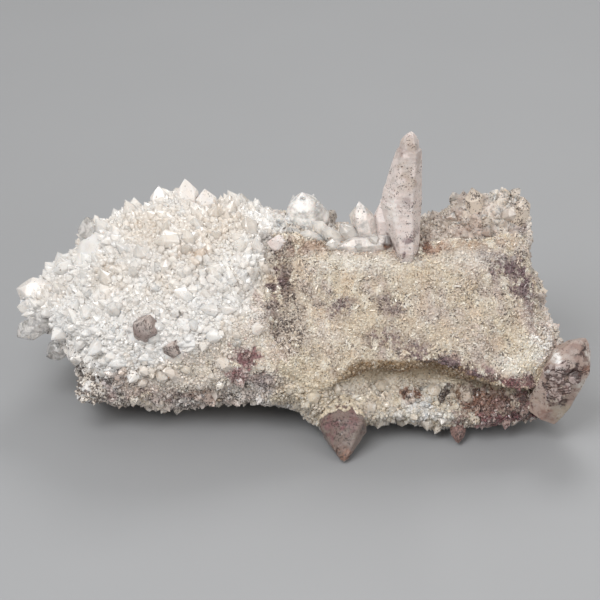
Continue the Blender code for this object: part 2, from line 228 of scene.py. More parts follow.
def scattered_points(random):
    """The solid's scattered points: zone, foot, direction, radius, tallness, crown, narrowing, roll, slant.

    Each takes, of a few places drawn by area, the one with most room; the draws are in the solid's order.
    """
    x = np.linspace(LENGTH_START, LENGTH_END, 140)
    around = np.arange(0, len(RAILS), 0.1)
    grid = body_grid(x, around)
    along = np.linalg.norm(np.gradient(grid, axis=0), axis=-1)
    area = along * np.linalg.norm(np.roll(grid, -1, axis=1) - grid, axis=-1)
    normals = outward(grid).reshape(-1, 3)
    feet = grid.reshape(-1, 3)
    taken = [((np.array(root) + tip) / 2 * MM, rings[0][1] * MM)
             for root, tip, rings in LARGE_POINTS.values()]
    for zone, (x_from, x_to, rail_from, rail_to, count, least, most) in ZONES.items():
        inside = (x[:, None] >= x_from * MM) & (x[:, None] <= x_to * MM)
        inside = inside & (around[None, :] >= rail_from) & (around[None, :] <= rail_to)
        chance = (area * inside).ravel()
        for _ in range(count):
            radius = (least + (most - least) * random.random() ** 1.3) * MM
            places = random.choice(chance.size, size=CHOICES, p=chance / chance.sum())
            directions = normals[places] + random.normal(0, SPREAD, 3) + LEAN
            directions /= np.linalg.norm(directions, axis=1, keepdims=True)
            spots = feet[places]
            room = np.min([np.linalg.norm(spots - foot, axis=1) - reach for foot, reach in taken], axis=0)
            drop = np.maximum(-directions[:, 2] * TALLEST, directions[:, 2] * ROOTED) + 1
            best = np.argmax(np.where(spots[:, 2] > drop * radius, room, -1))
            taken.append((spots[best], radius))
            tallness, crown = random.uniform(SHORTEST, TALLEST), random.uniform(0.8, 1.3)
            narrowing, roll = random.uniform(0.78, 1), random.uniform(0, math.pi / 3)
            slant = random.uniform(-0.4, 0.4, 2)
            yield zone, spots[best], directions[best], radius, tallness, crown, narrowing, roll, slant


def solid_points():
    """Rolls of the large points by name, and the scattered points by zone, as the solid has them."""
    random = np.random.default_rng(SEED)
    rolls = {name: random.uniform(0, math.pi / 3) for name in LARGE_POINTS}
    by_zone = {zone: [] for zone in ZONES}
    for zone, *point in scattered_points(random):
        by_zone[zone].append(point)
    return rolls, {zone: [np.array(column) for column in zip(*rows)] for zone, rows in by_zone.items()}


# ---------------------------------------------------------------- colours (linear) and stains
WHITE = (0.825, 0.805, 0.781)
WARM = (0.725, 0.651, 0.572)
TAN = (0.58, 0.50, 0.415)
SAND = (0.66, 0.565, 0.435)
CREAM = (0.84, 0.80, 0.72)
GREY_PINK = (0.53, 0.44, 0.395)
# Olive brown painted shade, for the hollow just under the ledge.
OLIVE_LEDGE_SHADE = (0.23, 0.145, 0.072)
CRUST_GREY = (0.60, 0.53, 0.45)
UNDERSIDE = (0.46, 0.38, 0.32)
VIOLET = (0.19, 0.125, 0.135)
PLUM = (0.24, 0.105, 0.115)
RUST = (0.32, 0.15, 0.09)
ORANGE = (0.52, 0.33, 0.19)
DARK = (0.05, 0.033, 0.03)
CHIP = (0.94, 0.92, 0.88)
UMBER = (0.17, 0.11, 0.09)
SMOKE = (0.40, 0.34, 0.30)
PEPPERED = (0.56, 0.475, 0.40)
ROSY = (0.68, 0.56, 0.50)
OCHRE = (0.62, 0.475, 0.35)
DUSTY = (0.53, 0.40, 0.36)
BUFF = (0.64, 0.545, 0.48)
BLUSH = (0.74, 0.66, 0.59)
# The next two colours are painted shade, for the dark gaps at the tall point's base.
GAP_SHADE_RED = (0.10, 0.035, 0.025)
GAP_SHADE = (0.08, 0.035, 0.025)
UMBER_GREY = (0.25, 0.17, 0.145)
ASH = (0.60, 0.565, 0.53)
DEEP_ASH = (0.55, 0.515, 0.475)
KHAKI = (0.36, 0.30, 0.235)
OXBLOOD = (0.22, 0.11, 0.09)
# Painted shade, for the darkest of the gaps at the tall point's base.
GAP_SHADE_BLACK = (0.07, 0.03, 0.02)
DOVE = (0.43, 0.365, 0.34)
PLUM_BLACK = (0.13, 0.08, 0.08)

# Stains: middle (x, y, z), reach (x, y, z), in millimetres, colour, strength.
STAINS = [
    ((-10, -12, 84), (9, 7, 5), SMOKE, 0.85),
    ((-13, -18, 80), (3.4, 10, 8), SMOKE, 0.8),
    ((-8, -21, 74), (5.5, 9, 7), UMBER, 0.8),
    ((-7, -28, 69), (5.5, 9, 7), UMBER, 0.8),
    ((-7, -32, 63), (5, 9, 6), UMBER, 0.5),
    ((-5, -47, 49), (6, 8, 4), UMBER, 0.4),
    ((-11, -25, 70), (4, 8, 8), VIOLET, 0.8),
    ((-13, -33, 62), (4, 8, 7), VIOLET, 0.6),
    ((-3, -37, 58), (10, 12, 12), PEPPERED, 0.85),
    ((-8, -45, 51), (8, 9, 8), PEPPERED, 0.85),
    ((1, -32, 64), (6, 9, 8), PEPPERED, 0.35),
    ((-12, -40, 55), (3, 8, 8), UMBER, 0.5),
    ((21, -33, 61), (8.5, 9, 6.5), VIOLET, 1.0),
    ((42, -31, 61), (6, 8, 4.5), VIOLET, 0.9),
    ((37, -42, 53), (9, 10, 6), VIOLET, 1.0),
    ((46, -44, 51), (6, 7, 4), VIOLET, 0.9),
    ((56, -46, 49), (9, 9, 5.5), VIOLET, 1.0),
    ((58, -14, 77), (3, 4, 3), VIOLET, 0.7),
    ((30, -36, 59), (5, 6, 4), VIOLET, 0.45),
    ((40, -28, 62), (9, 9, 5), VIOLET, 0.35),
    ((88, -10, 79), (8, 9, 4.5), VIOLET, 0.9),
    ((95.5, -13, 76.5), (8, 9, 5.5), VIOLET, 1.0),
    ((102, -16, 73), (7, 9, 6), VIOLET, 1.0),
    ((107.5, -22, 66), (5.5, 9, 7), VIOLET, 1.0),
    ((111, -27, 61), (4.5, 9, 6), VIOLET, 0.85),
    ((80, -14, 77), (10, 9, 5), GREY_PINK, 0.6),
    ((110, -30, 55), (6, 14, 12), GREY_PINK, 0.5),
    ((30, -38, 57), (14, 14, 8), SAND, 0.75),
    ((62, -44, 53), (22, 10, 6), SAND, 0.65),
    ((60, -18, 74), (22, 10, 6), SAND, 0.5),
    ((12, -42, 52), (8, 10, 7), WARM, 0.5),
    ((112, -40, 41), (10, 10, 6), CREAM, 0.9),
    ((100, -47, 38), (9, 8, 4), CREAM, 0.7),
    ((118, -35, 42), (5, 9, 6), CHIP, 1.0),
    ((-24, -52, 45), (5, 8, 7), PLUM, 0.85),
    ((-27, -52, 37), (7, 8, 6), PLUM, 0.6),
    ((-14, -54, 31), (9, 8, 6), VIOLET, 0.5),
    ((-48, -50, 24), (12, 9, 6), RUST, 0.5),
    ((-72, -50, 27), (9, 9, 6), PLUM, 0.7),
    ((-60, -50, 22), (9, 9, 5), PLUM, 0.5),
    ((-84, -51, 35), (7, 9, 6), RUST, 0.85),
    ((-13, -48, 46), (7, 9, 6), DUSTY, 0.6),
    ((-92, -46, 24), (8, 9, 8), PLUM, 0.45),
    ((-60, -52, 34), (32, 8, 12), WARM, 0.7),
    ((-28, -50, 48), (18, 10, 16), WARM, 0.9),
    ((-20, -52, 44), (8, 9, 10), SAND, 0.5),
    ((-50, -21, 85), (7, 6, 3), ORANGE, 0.85),
    ((-50, -10, 92), (34, 24, 10), WARM, 0.6),
    ((-84, 8, 84), (10, 14, 6), WARM, 0.5),
    ((-120, -10, 58), (12, 10, 8), WARM, 0.35),
    ((46, -9, 79), (5, 5, 4), RUST, 0.95),
    ((60, -5, 80), (14, 6, 3), RUST, 0.45),
    ((69, 3, 86), (13, 12, 6), BUFF, 0.75),
    # Painted shade of the gap right of the tall point's base.
    ((60, -8, 83), (4.5, 5, 2.6), GAP_SHADE_RED, 0.9),
    ((30, -8, 80), (14, 6, 3), RUST, 0.55),
    ((4, -8, 83), (18, 8, 4), RUST, 0.45),
    # Painted shade of the gaps left and right of the tall point's base.
    ((56.8, -10, 81.5), (4.5, 6, 3.5), GAP_SHADE, 1.0),
    ((42.6, -7, 83), (4, 6, 3.5), GAP_SHADE, 1.0),
    ((92, -50, 20), (16, 10, 9), PLUM, 0.8),
    ((84, -50, 25), (12, 9, 7), UMBER, 0.55),
    ((106, -52, 14), (12, 10, 10), UMBER, 0.65),
    ((80, -6, 82), (16, 5, 2.5), ORANGE, 0.5),
    ((68, -8, 81), (10, 4, 2), RUST, 0.5),
    ((-15, -8, 86), (6, 6, 4), DARK, 0.6),
    ((-12, 10, 88), (16, 10, 8), WHITE, 1.0),
    ((72, -50, 43), (8, 5, 3), PLUM, 0.4),
    ((86, -52, 38), (10, 5, 3), PLUM, 0.75),
    ((64, -49.7, 42.4), (6, 5, 2.2), UMBER, 0.8),
    ((71, -50.8, 41.4), (6, 5, 2.2), VIOLET, 1.0),
    ((78, -51.6, 39), (6, 5, 2.2), UMBER, 0.9),
    ((85, -52.5, 36.4), (6, 5, 2.2), VIOLET, 1.0),
    ((92, -53.8, 34.2), (6, 5, 2.4), UMBER, 0.9),
    ((98, -54.3, 32.4), (5, 5, 2.4), PLUM, 0.9),
    ((104, -54, 30), (12, 8, 5), PLUM, 0.9),
    # Painted shade under the ledge, in olive brown.
    ((92, -50, 26), (9, 8, 6), OLIVE_LEDGE_SHADE, 0.6),
    ((86, -50, 18), (10, 8, 6), RUST, 0.6),
    ((96, -51, 16), (20, 10, 8), UMBER, 0.55),
    ((110, -52, 22), (10, 9, 8), UMBER, 0.6),
    ((97, -53, 10), (14, 10, 6), PLUM, 0.85),
    ((112, -50, 18), (8, 10, 8), PLUM, 0.6),
    ((126, -40, 40), (8, 12, 8), RUST, 0.55),
    ((55.5, -51, 16.5), (13, 10, 6), WHITE, 0.7),
    # Painted shade under the ledge, in olive brown.
    ((73, -50, 25), (6, 8, 5), OLIVE_LEDGE_SHADE, 0.6),
    ((42, -50, 26), (10, 8, 6), TAN, 0.6),
    ((53, -48.4, 23.5), (4.6, 6, 2.6), RUST, 1.0),
    ((53, -48.4, 23.5), (3.6, 6, 2), DARK, 0.6),
    ((69.6, -46.8, 23.4), (3.4, 6, 3.6), DARK, 0.95),
    ((0, -54, 26), (14, 10, 9), SAND, 0.6),
    ((22, -58, 16), (9, 10, 7), VIOLET, 0.45),
    # Painted shade under the ledge, in olive brown.
    ((14, -54, 37), (8, 5, 4), OLIVE_LEDGE_SHADE, 0.4),
    ((28, -13, 77), (26, 8, 5), CREAM, 0.65),
    ((84, -12, 79), (16, 8, 5), CREAM, 0.5),
    ((-25, -52, 44), (7, 10, 7), PLUM, 0.9),
    ((-30, -53, 37), (5, 8, 7), PLUM, 0.75),
    ((-19, -52, 35), (6, 9, 5), VIOLET, 0.6),
    ((97, 6, 92), (14, 12, 8), BLUSH, 0.7),
    ((107, 4, 93), (4, 10, 8), VIOLET, 0.45),
    ((84, 6, 88), (8, 10, 6), RUST, 0.3),
]


STAIN_SPECKLE = {DARK: 1.0, UMBER: 1.0, PEPPERED: 1.0, VIOLET: 0.8, PLUM: 0.8, RUST: 0.8, SMOKE: 0.8}
PALE_SPECKLE = 0.1  # what every other stain brings
WAVES = 14  # how many make a ripple
HIGHEST = 1.6  # where a ripple's sum is cut off before it is scaled to 1
# The ripples that colours follow: pitch and seed.
BROAD, FINE, GRAIN, SPECK = (34 * MM, 11), (9 * MM, 12), (4 * MM, 13), (1.7 * MM, 14)


def unit(vectors):
    """The vectors, each divided by its length."""
    return vectors / np.linalg.norm(vectors, axis=-1, keepdims=True)


def ripple(points, pitch, seed):
    """Even-grained roughness from -1 to 1: a sum of cosines that cross in many directions, with lengths near
    the pitch, over the square root of their number.
    """
    random = np.random.default_rng(seed)
    direction = unit(random.normal(size=(WAVES, 3)))
    number = direction * (2 * math.pi / pitch * random.uniform(0.7, 1.4, (WAVES, 1)))
    phase = random.uniform(0, 2 * math.pi, WAVES)
    height = np.cos(points @ number.T + phase).sum(axis=-1) / math.sqrt(WAVES)
    return np.clip(height, -HIGHEST, HIGHEST) / HIGHEST


def between(value, low, high):
    """A smooth step: 0 up to low, 1 from high on, and a cubic between."""
    t = np.clip((value - low) / (high - low), 0, 1)
    return t * t * (3 - 2 * t)


def until(value, low, high):
    """The same step turned round: 1 up to low, 0 from high on."""
    return 1 - between(value, low, high)


def regions(points, around):
    """How far each place is in the field, plate, hollow, crust, crest and underside, from 0 to 1 each: smooth
    steps along X and over the rails, which ripples bend.
    """
    x = points[..., 0] / MM + 3 * ripple(points, 30 * MM, 3)
    rail = around + 0.12 * ripple(points, 22 * MM, 4)
    behind = between(rail, SHOULDER - 0.5, SHOULDER + 0.2)
    right = between(x, -18 - 30 * behind, -12 + 24 * behind)
    plate = right * between(rail, LEDGE - 0.12, LEDGE + 0.02) * until(rail, BROW + 0.75, BROW + 1.1)
    hollow = right * between(rail, RECESS - 0.4, RECESS - 0.1) * until(rail, LEDGE - 0.1, LEDGE + 0.02)
    crust = right * between(rail, SKIRT - 0.5, SKIRT) * until(rail, RECESS - 0.4, RECESS - 0.1)
    crest = right * between(rail, BROW + 0.75, BROW + 1.1)
    under = np.maximum(until(rail, SKIRT - 0.9, SKIRT - 0.1), between(rail, WAIST + 0.2, FOOT))
    return 1 - right, plate, hollow, crust, crest, under


def sugary(points):
    """How far each place lies in the low right part of the field, which is as fine as the plate: 1 below an
    edge that rises to the right and wanders with a ripple, 0 above it.
    """
    x, z = points[..., 0] / MM, points[..., 2] / MM
    edge = 46 + 0.55 * (x + 59) + 5 * ripple(points, 14 * MM, 5)
    return until(z - edge, -4, 4)


def tint(points, around):
    """Colour of each place, and in the fourth number how much dark speckle it carries: milky white, then a
    layer for each cloud and grain of each region, laid over what is below it by its amount, then the stains.
    The olive band laid just under the ledge is painted shade.
    """
    colours = bpy.context.scene.quartz_colours
    field, plate, hollow, crust, crest, under = regions(points, around)
    broad, fine, grain = (ripple(points, *kind) for kind in (BROAD, FINE, GRAIN))
    colour = np.ones(points.shape[:-1] + (3,)) * colours.white
    speckle = np.full(points.shape[:-1], 0.05)

    def lay(over, amount, speckled=None):
        nonlocal colour, speckle
        amount = np.clip(amount, 0, 1)
        colour = colour + (np.array(over) - colour) * amount[..., None]
        if speckled is not None:
            speckle = speckle + (speckled - speckle) * amount

    x, z = points[..., 0] / MM, points[..., 2] / MM
    lay(colours.warm, field * (0.3 + 0.5 * broad + 0.4 * fine) * between(z, 50, 88))
    lay(colours.warm, field * (0.25 + 0.4 * broad) * until(z, 24, 46), 0.6)
    lay(PLUM, field * until(z, 20, 40) * np.clip(1.1 * grain + 0.5 * fine - 0.45, 0, 0.7), 0.9)
    speckle = np.maximum(speckle, field * until(z, 26, 50) * np.clip(0.9 + 0.9 * fine, 0, 1.4))
    sugar = field * sugary(points) * until(around, BROW, CREST)
    lay(colours.warm, sugar * (0.45 + 0.4 * broad), 0.6)
    lay(colours.sand, sugar * (0.05 + 0.5 * fine + 0.4 * grain))
    lay(ROSY, sugar * (0.15 - 0.8 * fine), 0.85)
    lay(colours.tan, plate, 0.56)
    lay(colours.sand, plate * (0.3 + 0.8 * broad + 0.5 * fine))
    lay(colours.grey_pink, plate * (0.05 - 0.7 * broad - 0.6 * fine), 0.55)
    lay(colours.cream, plate * np.clip(0.9 * grain + 0.5 * fine - 0.2, 0, 0.6))
    lay(OCHRE, plate * np.clip(0.9 * ripple(points, 15 * MM, 15) - 0.1, 0, 0.45))
    lay(colours.crust_grey, crust, 0.35)
    lay(colours.grey_pink, crust * between(x, 72, 90) * (0.7 + 0.5 * fine), 0.9)
    lay(UMBER, crust * between(x, 76, 96) * np.clip(0.1 + 0.9 * grain + 0.5 * fine, 0, 0.8), 0.9)
    lay(colours.sand, crust * (0.2 + 0.6 * fine))
    lay(colours.warm, crest * (0.8 + 0.4 * broad), 0.6)
    lay(colours.tan, crest * (0.25 + 0.6 * fine), 0.7)
    lay(colours.grey_pink, crest * np.clip(0.35 - 0.8 * fine, 0, 0.8), 0.6)
    # Painted shade: olive brown in a band just under the ledge, where it overhangs the hollow between x = 10
    # and 104 mm.
    shaded = between(x, 10, 26) * until(x, 80, 104)
    deep = between(around, RECESS - 0.3, LEDGE - 0.5)
    lay(colours.sand, hollow, 0.3)
    lay(colours.olive_ledge_shade, hollow * shaded * (0.85 + 0.3 * grain) * deep, 0.3)
    lay(colours.underside, under * (0.7 + 0.3 * fine) * (1 - 0.6 * field), 0.3)
    return stained(np.concatenate([colour, speckle[..., None]], axis=-1), points, STAINS)


def stained(colours, points, stains):
    """The colours with ellipsoid stains laid over them in order, each by its strength times a smooth step of
    the distance from its middle in reaches, made ragged by ripples. Dark stains bring more speckle.
    """
    ragged = 0.5 * ripple(points, *FINE) + 0.5 * ripple(points, *GRAIN) + 0.3 * ripple(points, *SPECK)
    for middle, reach, over, strength in stains:
        away = np.linalg.norm((points / MM - middle) / reach, axis=-1)
        heavy = (strength * until(away + ragged, 0.35, 1.25))[..., None]
        speckle = STAIN_SPECKLE.get(over, PALE_SPECKLE)
        colours = colours + (np.array((*over, speckle)) - colours) * heavy
    return colours


# ---------------------------------------------------------------- making meshes
def build(name, points, loops, sizes, material, colours, uv, rise=None, clear=None, smooth=False):
    """A mesh piece from whole arrays: points (n, 3), the corner list, and the corner count of each face."""
    mesh = bpy.data.meshes.new(name)
    mesh.vertices.add(len(points))
    mesh.vertices.foreach_set("co", np.ascontiguousarray(points, np.float32).ravel())
    mesh.loops.add(len(loops))
    mesh.loops.foreach_set("vertex_index", loops.astype(np.int32))
    mesh.polygons.add(len(sizes))
    starts = np.concatenate([[0], np.cumsum(sizes)[:-1]])
    mesh.polygons.foreach_set("loop_start", starts.astype(np.int32))
    mesh.update(calc_edges=True)
    if mesh.validate():
        raise RuntimeError(f"{name} has bad faces")
    for key, kind, field, values in (("tint", "FLOAT_COLOR", "color", colours),
                                     ("rise", "FLOAT", "value", rise), ("clear", "FLOAT", "value", clear)):
        if values is not None:
            attribute = mesh.attributes.new(key, kind, "POINT")
            attribute.data.foreach_set(field, values.astype(np.float32).ravel())
    layer = mesh.uv_layers.new(name="OFBake")
    layer.data.foreach_set("uv", uv.astype(np.float32).ravel())
    mesh.polygons.foreach_set("use_smooth", np.full(len(sizes), smooth))
    mesh.materials.append(quartz(material))
    if name in bpy.data.objects:
        bpy.data.objects.remove(bpy.data.objects[name])
    piece = bpy.data.objects.new(name, mesh)
    bpy.context.scene.collection.objects.link(piece)
    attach(piece, BODY)
    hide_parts(NODE)
    return piece


def turned(local, direction):
    """Local points turned by the shortest turn that takes +Z to the direction, by Rodrigues' formula."""
    dx, dy, dz = (direction[..., k] for k in range(3))
    x, y, z = (local[..., k] for k in range(3))
    k = 1 / (1 + np.maximum(dz, -0.999))
    return np.stack([
        (1 - dx * dx * k) * x - dx * dy * k * y + dx * z,
        -dx * dy * k * x + (1 - dy * dy * k) * y + dy * z,
        -dx * x - dy * y + dz * z,
    ], axis=-1)


def sideways(direction, angle):
    """Unit vectors square to a direction, at these angles round it."""
    return turned(np.stack([np.cos(angle), np.sin(angle), 0 * angle], axis=-1), direction)


CHAMFER = 0.11  # how much of a prism face each blunted edge takes from its side


def hexagon(blunted):
    """Corners of a unit hexagon; with blunted edges each corner becomes two, moved along its sides."""
    angle = np.arange(6) * math.pi / 3 + math.pi / 2
    corner = np.stack([np.cos(angle), np.sin(angle)], axis=-1)
    if not blunted:
        return corner
    before, after = np.roll(corner, 1, axis=0), np.roll(corner, -1, axis=0)
    pair = np.stack([corner + (before - corner) * CHAMFER, corner + (after - corner) * CHAMFER], axis=1)
    return pair.reshape(12, 2)


def crystal_points(base, root, direction, length, shares, radii, roll, slant, tilt):
    """Corners (n, rings * corners + 1, 3) of six-sided points: rings of a hexagon up the axis, then a tip.

    A corner is at (r cos a, r sin a, share * length + tilt . corner) before it is stood along its direction,
    and the tip is at (slant * last r, length).
    """
    turn = np.stack([np.cos(roll), np.sin(roll)], axis=-1)[:, None, :]
    x = base[:, 0] * turn[..., 0] - base[:, 1] * turn[..., 1]
    y = base[:, 0] * turn[..., 1] + base[:, 1] * turn[..., 0]
    flat = np.stack([x, y], axis=-1)[:, None] * radii[:, :, None, None]
    top = (flat * tilt[:, None, None, :]).sum(axis=-1) * (np.arange(radii.shape[1]) > 0)[None, :, None]
    height = shares[:, :, None] * length[:, None, None] + top
    rings = np.concatenate([flat, height[..., None]], axis=-1).reshape(len(root), -1, 3)
    tips = np.concatenate([slant * radii[:, -1:], length[:, None]], axis=-1)[:, None]
    local = np.concatenate([rings, tips], axis=1)
    return turned(local, direction[:, None, :]) + root[:, None, :], local


def crystal_loops(corners, rings, count):
    """Corner list and face sizes of that many crystals: side quads, the crown's triangles, and a floor."""
    ring = np.arange(corners)
    following = (ring + 1) % corners
    loops, sizes = [], []
    for k in range(rings - 1):
        low, high = k * corners, (k + 1) * corners
        loops.append(np.stack([ring + low, following + low, following + high, ring + high], axis=-1).ravel())
        sizes += [4] * corners
    top = (rings - 1) * corners
    loops.append(np.stack([ring + top, following + top, np.full(corners, rings * corners)], axis=-1).ravel())
    sizes += [3] * corners
    loops.append(ring[::-1])
    sizes += [corners]
    one = np.concatenate(loops)
    each = rings * corners + 1
    return (one[None] + np.arange(count)[:, None] * each).ravel(), np.tile(sizes, count)


def crystal_uv(local, loops, count):
    """Bake layout: a cell of an even grid for each crystal, seen from its tip, lower rings spread wider."""
    side = math.ceil(math.sqrt(count))
    reach = np.linalg.norm(local[..., :2], axis=-1).max(axis=1)[:, None]
    height = local[..., 2] / local[..., 2].max(axis=1)[:, None]
    flat = local[..., :2] / reach[..., None] * (1 - 0.55 * height)[..., None]
    cell = np.stack([np.arange(count) % side, np.arange(count) // side], axis=-1)[:, None]
    return ((cell + 0.5 + 0.44 * flat) / side).reshape(-1, 2)[loops]


def crystals(name, material, feet, direction, radius, tallness, crown, narrowing, roll, slant, tilt, depth,
             colours, clear, blunted=True):
    """A piece of crystals from their feet on the skin: tip at tallness radii above, root at depth radii
    below, and the shoulder at crown radii under the tip.
    """
    count = len(radius)
    length = (tallness + depth) * radius
    root = feet - direction * (depth * radius)[:, None]
    shoulder = 1 - crown * radius / length
    shares = np.stack([np.zeros(count), shoulder], axis=1)
    radii = np.stack([radius, radius * narrowing], axis=1)
    base = hexagon(blunted)
    points, local = crystal_points(base, root, direction, length, shares, radii, roll, slant, tilt)
    points[..., 2] += np.maximum(-points[..., 2].min(axis=1), 0)[:, None]
    loops, sizes = crystal_loops(len(base), 2, count)
    rise = (local[..., 2] / length[:, None]).ravel()
    each = points.shape[1]
    return build(name, points.reshape(-1, 3), loops, sizes, material, np.repeat(colours, each, axis=0),
                 crystal_uv(local, loops, count), rise, np.repeat(clear, each))


# ---------------------------------------------------------------- laying small crystals over the skin
FINE_X = 0.3 * MM
FINE_AROUND = 0.01
STEEPEST = 5.0  # most that a slope along X adds to the places on it
COARSE_X, COARSE_AROUND = 12, 5  # steps of the coarser grid in which the nearest place is looked for
NEARLY = 0.999  # share of a strip's run up to which its places are looked for


class Skin:
    """A fine grid of the skin: places, unit normals, rail numbers, and how far each place is round its
    section, with steps made longer where the skin is steep along X, so that steep parts are not left bare.
    """

    def __init__(self):
        self.x = np.arange(LENGTH_START, LENGTH_END, FINE_X)
        self.around = np.arange(0, len(RAILS), FINE_AROUND)
        self.places = body_grid(self.x, self.around)
        self.normals = outward(self.places)
        stretch = np.linalg.norm(np.gradient(self.places, axis=0), axis=-1) / FINE_X
        steps = np.linalg.norm(np.diff(self.places, axis=1), axis=-1) * np.minimum(stretch, STEEPEST)[:, 1:]
        self.run = np.concatenate([np.zeros((len(self.x), 1)), np.cumsum(steps, axis=1)], axis=1)

    def lay(self, spacing, x_from, x_to, rail_from, rail_to, random):
        """Places about a spacing apart: strips across X, stepped along by run, each shifted at random."""
        strip = max(1, round(spacing / FINE_X))
        first = np.searchsorted(self.x, x_from)
        last = np.searchsorted(self.x, x_to)
        rows = np.arange(first, last - strip, strip)
        low, high = np.searchsorted(self.around, (rail_from, rail_to))
        run = self.run[rows, low:high]
        run = run - run[:, :1]
        counts = np.maximum((run[:, -1] / spacing).astype(int), 1)
        strip_of = np.repeat(np.arange(len(rows)), counts)
        order = np.arange(counts.sum()) - np.repeat(np.cumsum(counts) - counts, counts)
        target = (order + random.uniform(0, 1, order.size)) * spacing
        far = run.max() + 1
        flat = (run + np.arange(len(rows))[:, None] * far).ravel()
        found = np.searchsorted(flat, np.minimum(target, run[strip_of, -1] * NEARLY) + strip_of * far)
        column = low + np.clip(found - strip_of * run.shape[1], 0, run.shape[1] - 1)
        row = rows[strip_of] + random.integers(0, strip, strip_of.size)
        return self.places[row, column], self.normals[row, column], self.around[column]

    def nearest_rail(self, points):
        """The rail number of the grid place that is nearest each point, from a coarse copy of the grid."""
        places = self.places[::COARSE_X, ::COARSE_AROUND]
        coarse = places.reshape(-1, 3)
        rails = np.broadcast_to(self.around[::COARSE_AROUND], places.shape[:2]).ravel()
        away = ((points[:, None, :] - coarse[None]) ** 2).sum(axis=-1)
        return rails[np.argmin(away, axis=1)]


SKIN = Skin()
SOLID_ROLLS, SOLID_POINTS = solid_points()


# Places left free of small crystals, so that a large point shows; the last two keep bare the painted
# shade of the gaps at the tall point's base. Middle and radius, in millimetres.
CLEARINGS = [((-102, 5, 75), 10), ((-106, 10, 80), 8), ((-76, -56, 60), 7.5), ((-60, -57, 50), 5.5),
             ((43, -9, 84), 3), ((57.5, -9, 84), 3)]
LOWEST = 1.0 * MM  # no small crystal stands lower than this
EMBEDDED = 1.1  # how deep a small crystal's root is below its foot, in radii
PATCH = 17 * MM  # how wide patches of like size are
FLOW = 26 * MM  # how wide patches that lie the same way are


def mostly_small(random, count, radii, power):
    """Radii drawn from a range in millimetres, as a random share raised to a power, so that few are large."""
    least, most = radii
    return (least + (most - least) * random.uniform(0, 1, count) ** power) * MM


def cuts(random, count, crown, narrowing, slant, tilt):
    """Crown, narrowing, roll, slant and tilt, drawn for each crystal from these ranges."""
    return (random.uniform(*crown, count), random.uniform(*narrowing, count),
            random.uniform(0, math.pi / 3, count), random.uniform(-slant, slant, (count, 2)),
            random.uniform(-tilt, tilt, (count, 2)))


def sprinkle(name, material, seed, spacing, along, rails, radii, tall, sunk, spread=0.5, lean=(0, 0, 0),
             keep=None, narrowing=(0.7, 1), blunted=False, varied=(0.86, 1.1), flat=1.0, drift=0.0,
             patchy=0.0):
    """A piece of many small crystals over part of the skin, with their feet sunk below it.

    Along, radii and sunk are in millimetres, and tall is in radii. A crystal points along flat times the
    normal, plus a random vector of the spread, the lean, and drift times a slow ripple that turns whole
    patches the same way. Patchy makes patches of larger and of smaller ones, and varied lightens or darkens.
    """
    random = np.random.default_rng(seed)
    feet, normals, around = SKIN.lay(spacing, along[0] * MM, along[1] * MM, *rails, random)
    inside = feet[:, 2] > LOWEST
    if keep is not None:
        inside &= keep(feet, around) > random.uniform(0, 1, len(feet))
    for middle, reach in CLEARINGS:
        inside &= np.linalg.norm(feet / MM - middle, axis=1) > reach
    feet, normals, around = feet[inside], normals[inside], around[inside]
    count = len(feet)
    radius = mostly_small(random, count, radii, 1.8)
    radius *= 1 + patchy * ripple(feet, PATCH, seed)
    flow = np.stack([ripple(feet, FLOW, seed + k) for k in (1, 2, 3)], axis=-1)
    direction = unit(normals * flat + random.normal(0, spread, (count, 3)) + lean + drift * flow)
    tallness = random.uniform(*tall, count)
    colours = tint(feet, around)
    colours[:, :3] *= random.uniform(*varied, (count, 1))
    feet = feet - normals * sunk * MM
    return crystals(name, material, feet, direction, radius, tallness,
                    *cuts(random, count, (0.7, 1.3), narrowing, 0.5, 0.35), EMBEDDED, colours,
                    random.uniform(0, 1, count), blunted)


def grown(name, material, zone, keep=None, shrunk=1.0):
    """A piece of the solid's scattered points of one zone, or of those that a rule keeps. Shrunk makes them
    slimmer than the solid's, where finer grains stand round them.
    """
    chosen = SOLID_POINTS[zone]
    if keep is not None:
        wanted = keep(chosen[0])
        chosen = [part[wanted] for part in chosen]
    feet, direction, radius, tallness, crown, narrowing, roll, slant = chosen
    count = len(feet)
    colours = tint(feet, SKIN.nearest_rail(feet))
    random = np.random.default_rng(count)
    colours[:, :3] *= random.uniform(0.84, 1.0, (count, 1))
    return crystals(name, material, feet, direction, radius * shrunk, tallness, crown, narrowing, roll, slant,
                    np.zeros((count, 2)), ROOTED, colours, random.uniform(0, 1, count))


# Small points given one by one: root, tip and radius, in millimetres.
GEMS = {
    "block_peaks": [((86, 13, 86), (83.5, 10, 104.5), 5.0), ((106, 10, 84), (109, 6, 101.5), 4.6)],
    "crest_gems": [((30, 0, 78), (20, -3, 92), 4.2), ((24, 2, 78), (10, -2, 88), 3.8),
                   ((40, -2, 80), (33, -10, 88), 3.6), ((14, 4, 80), (6, 2, 92), 4),
                   ((0, 2, 80), (-6, -4, 90), 4), ((30, 6, 78), (26, 6, 97), 3.6),
                   ((20, -4, 80), (12, -10, 85), 3), ((34, -3, 79), (26, -11, 84.5), 3.2),
                   ((10, 2, 80), (0, -6, 88), 3.4), ((46, 4, 78), (44, 6, 98), 4.2),
                   ((51, 4, 74), (51.5, 8, 97), 5.6), ((45, 9, 72), (43, 14, 91), 4.4)],
}


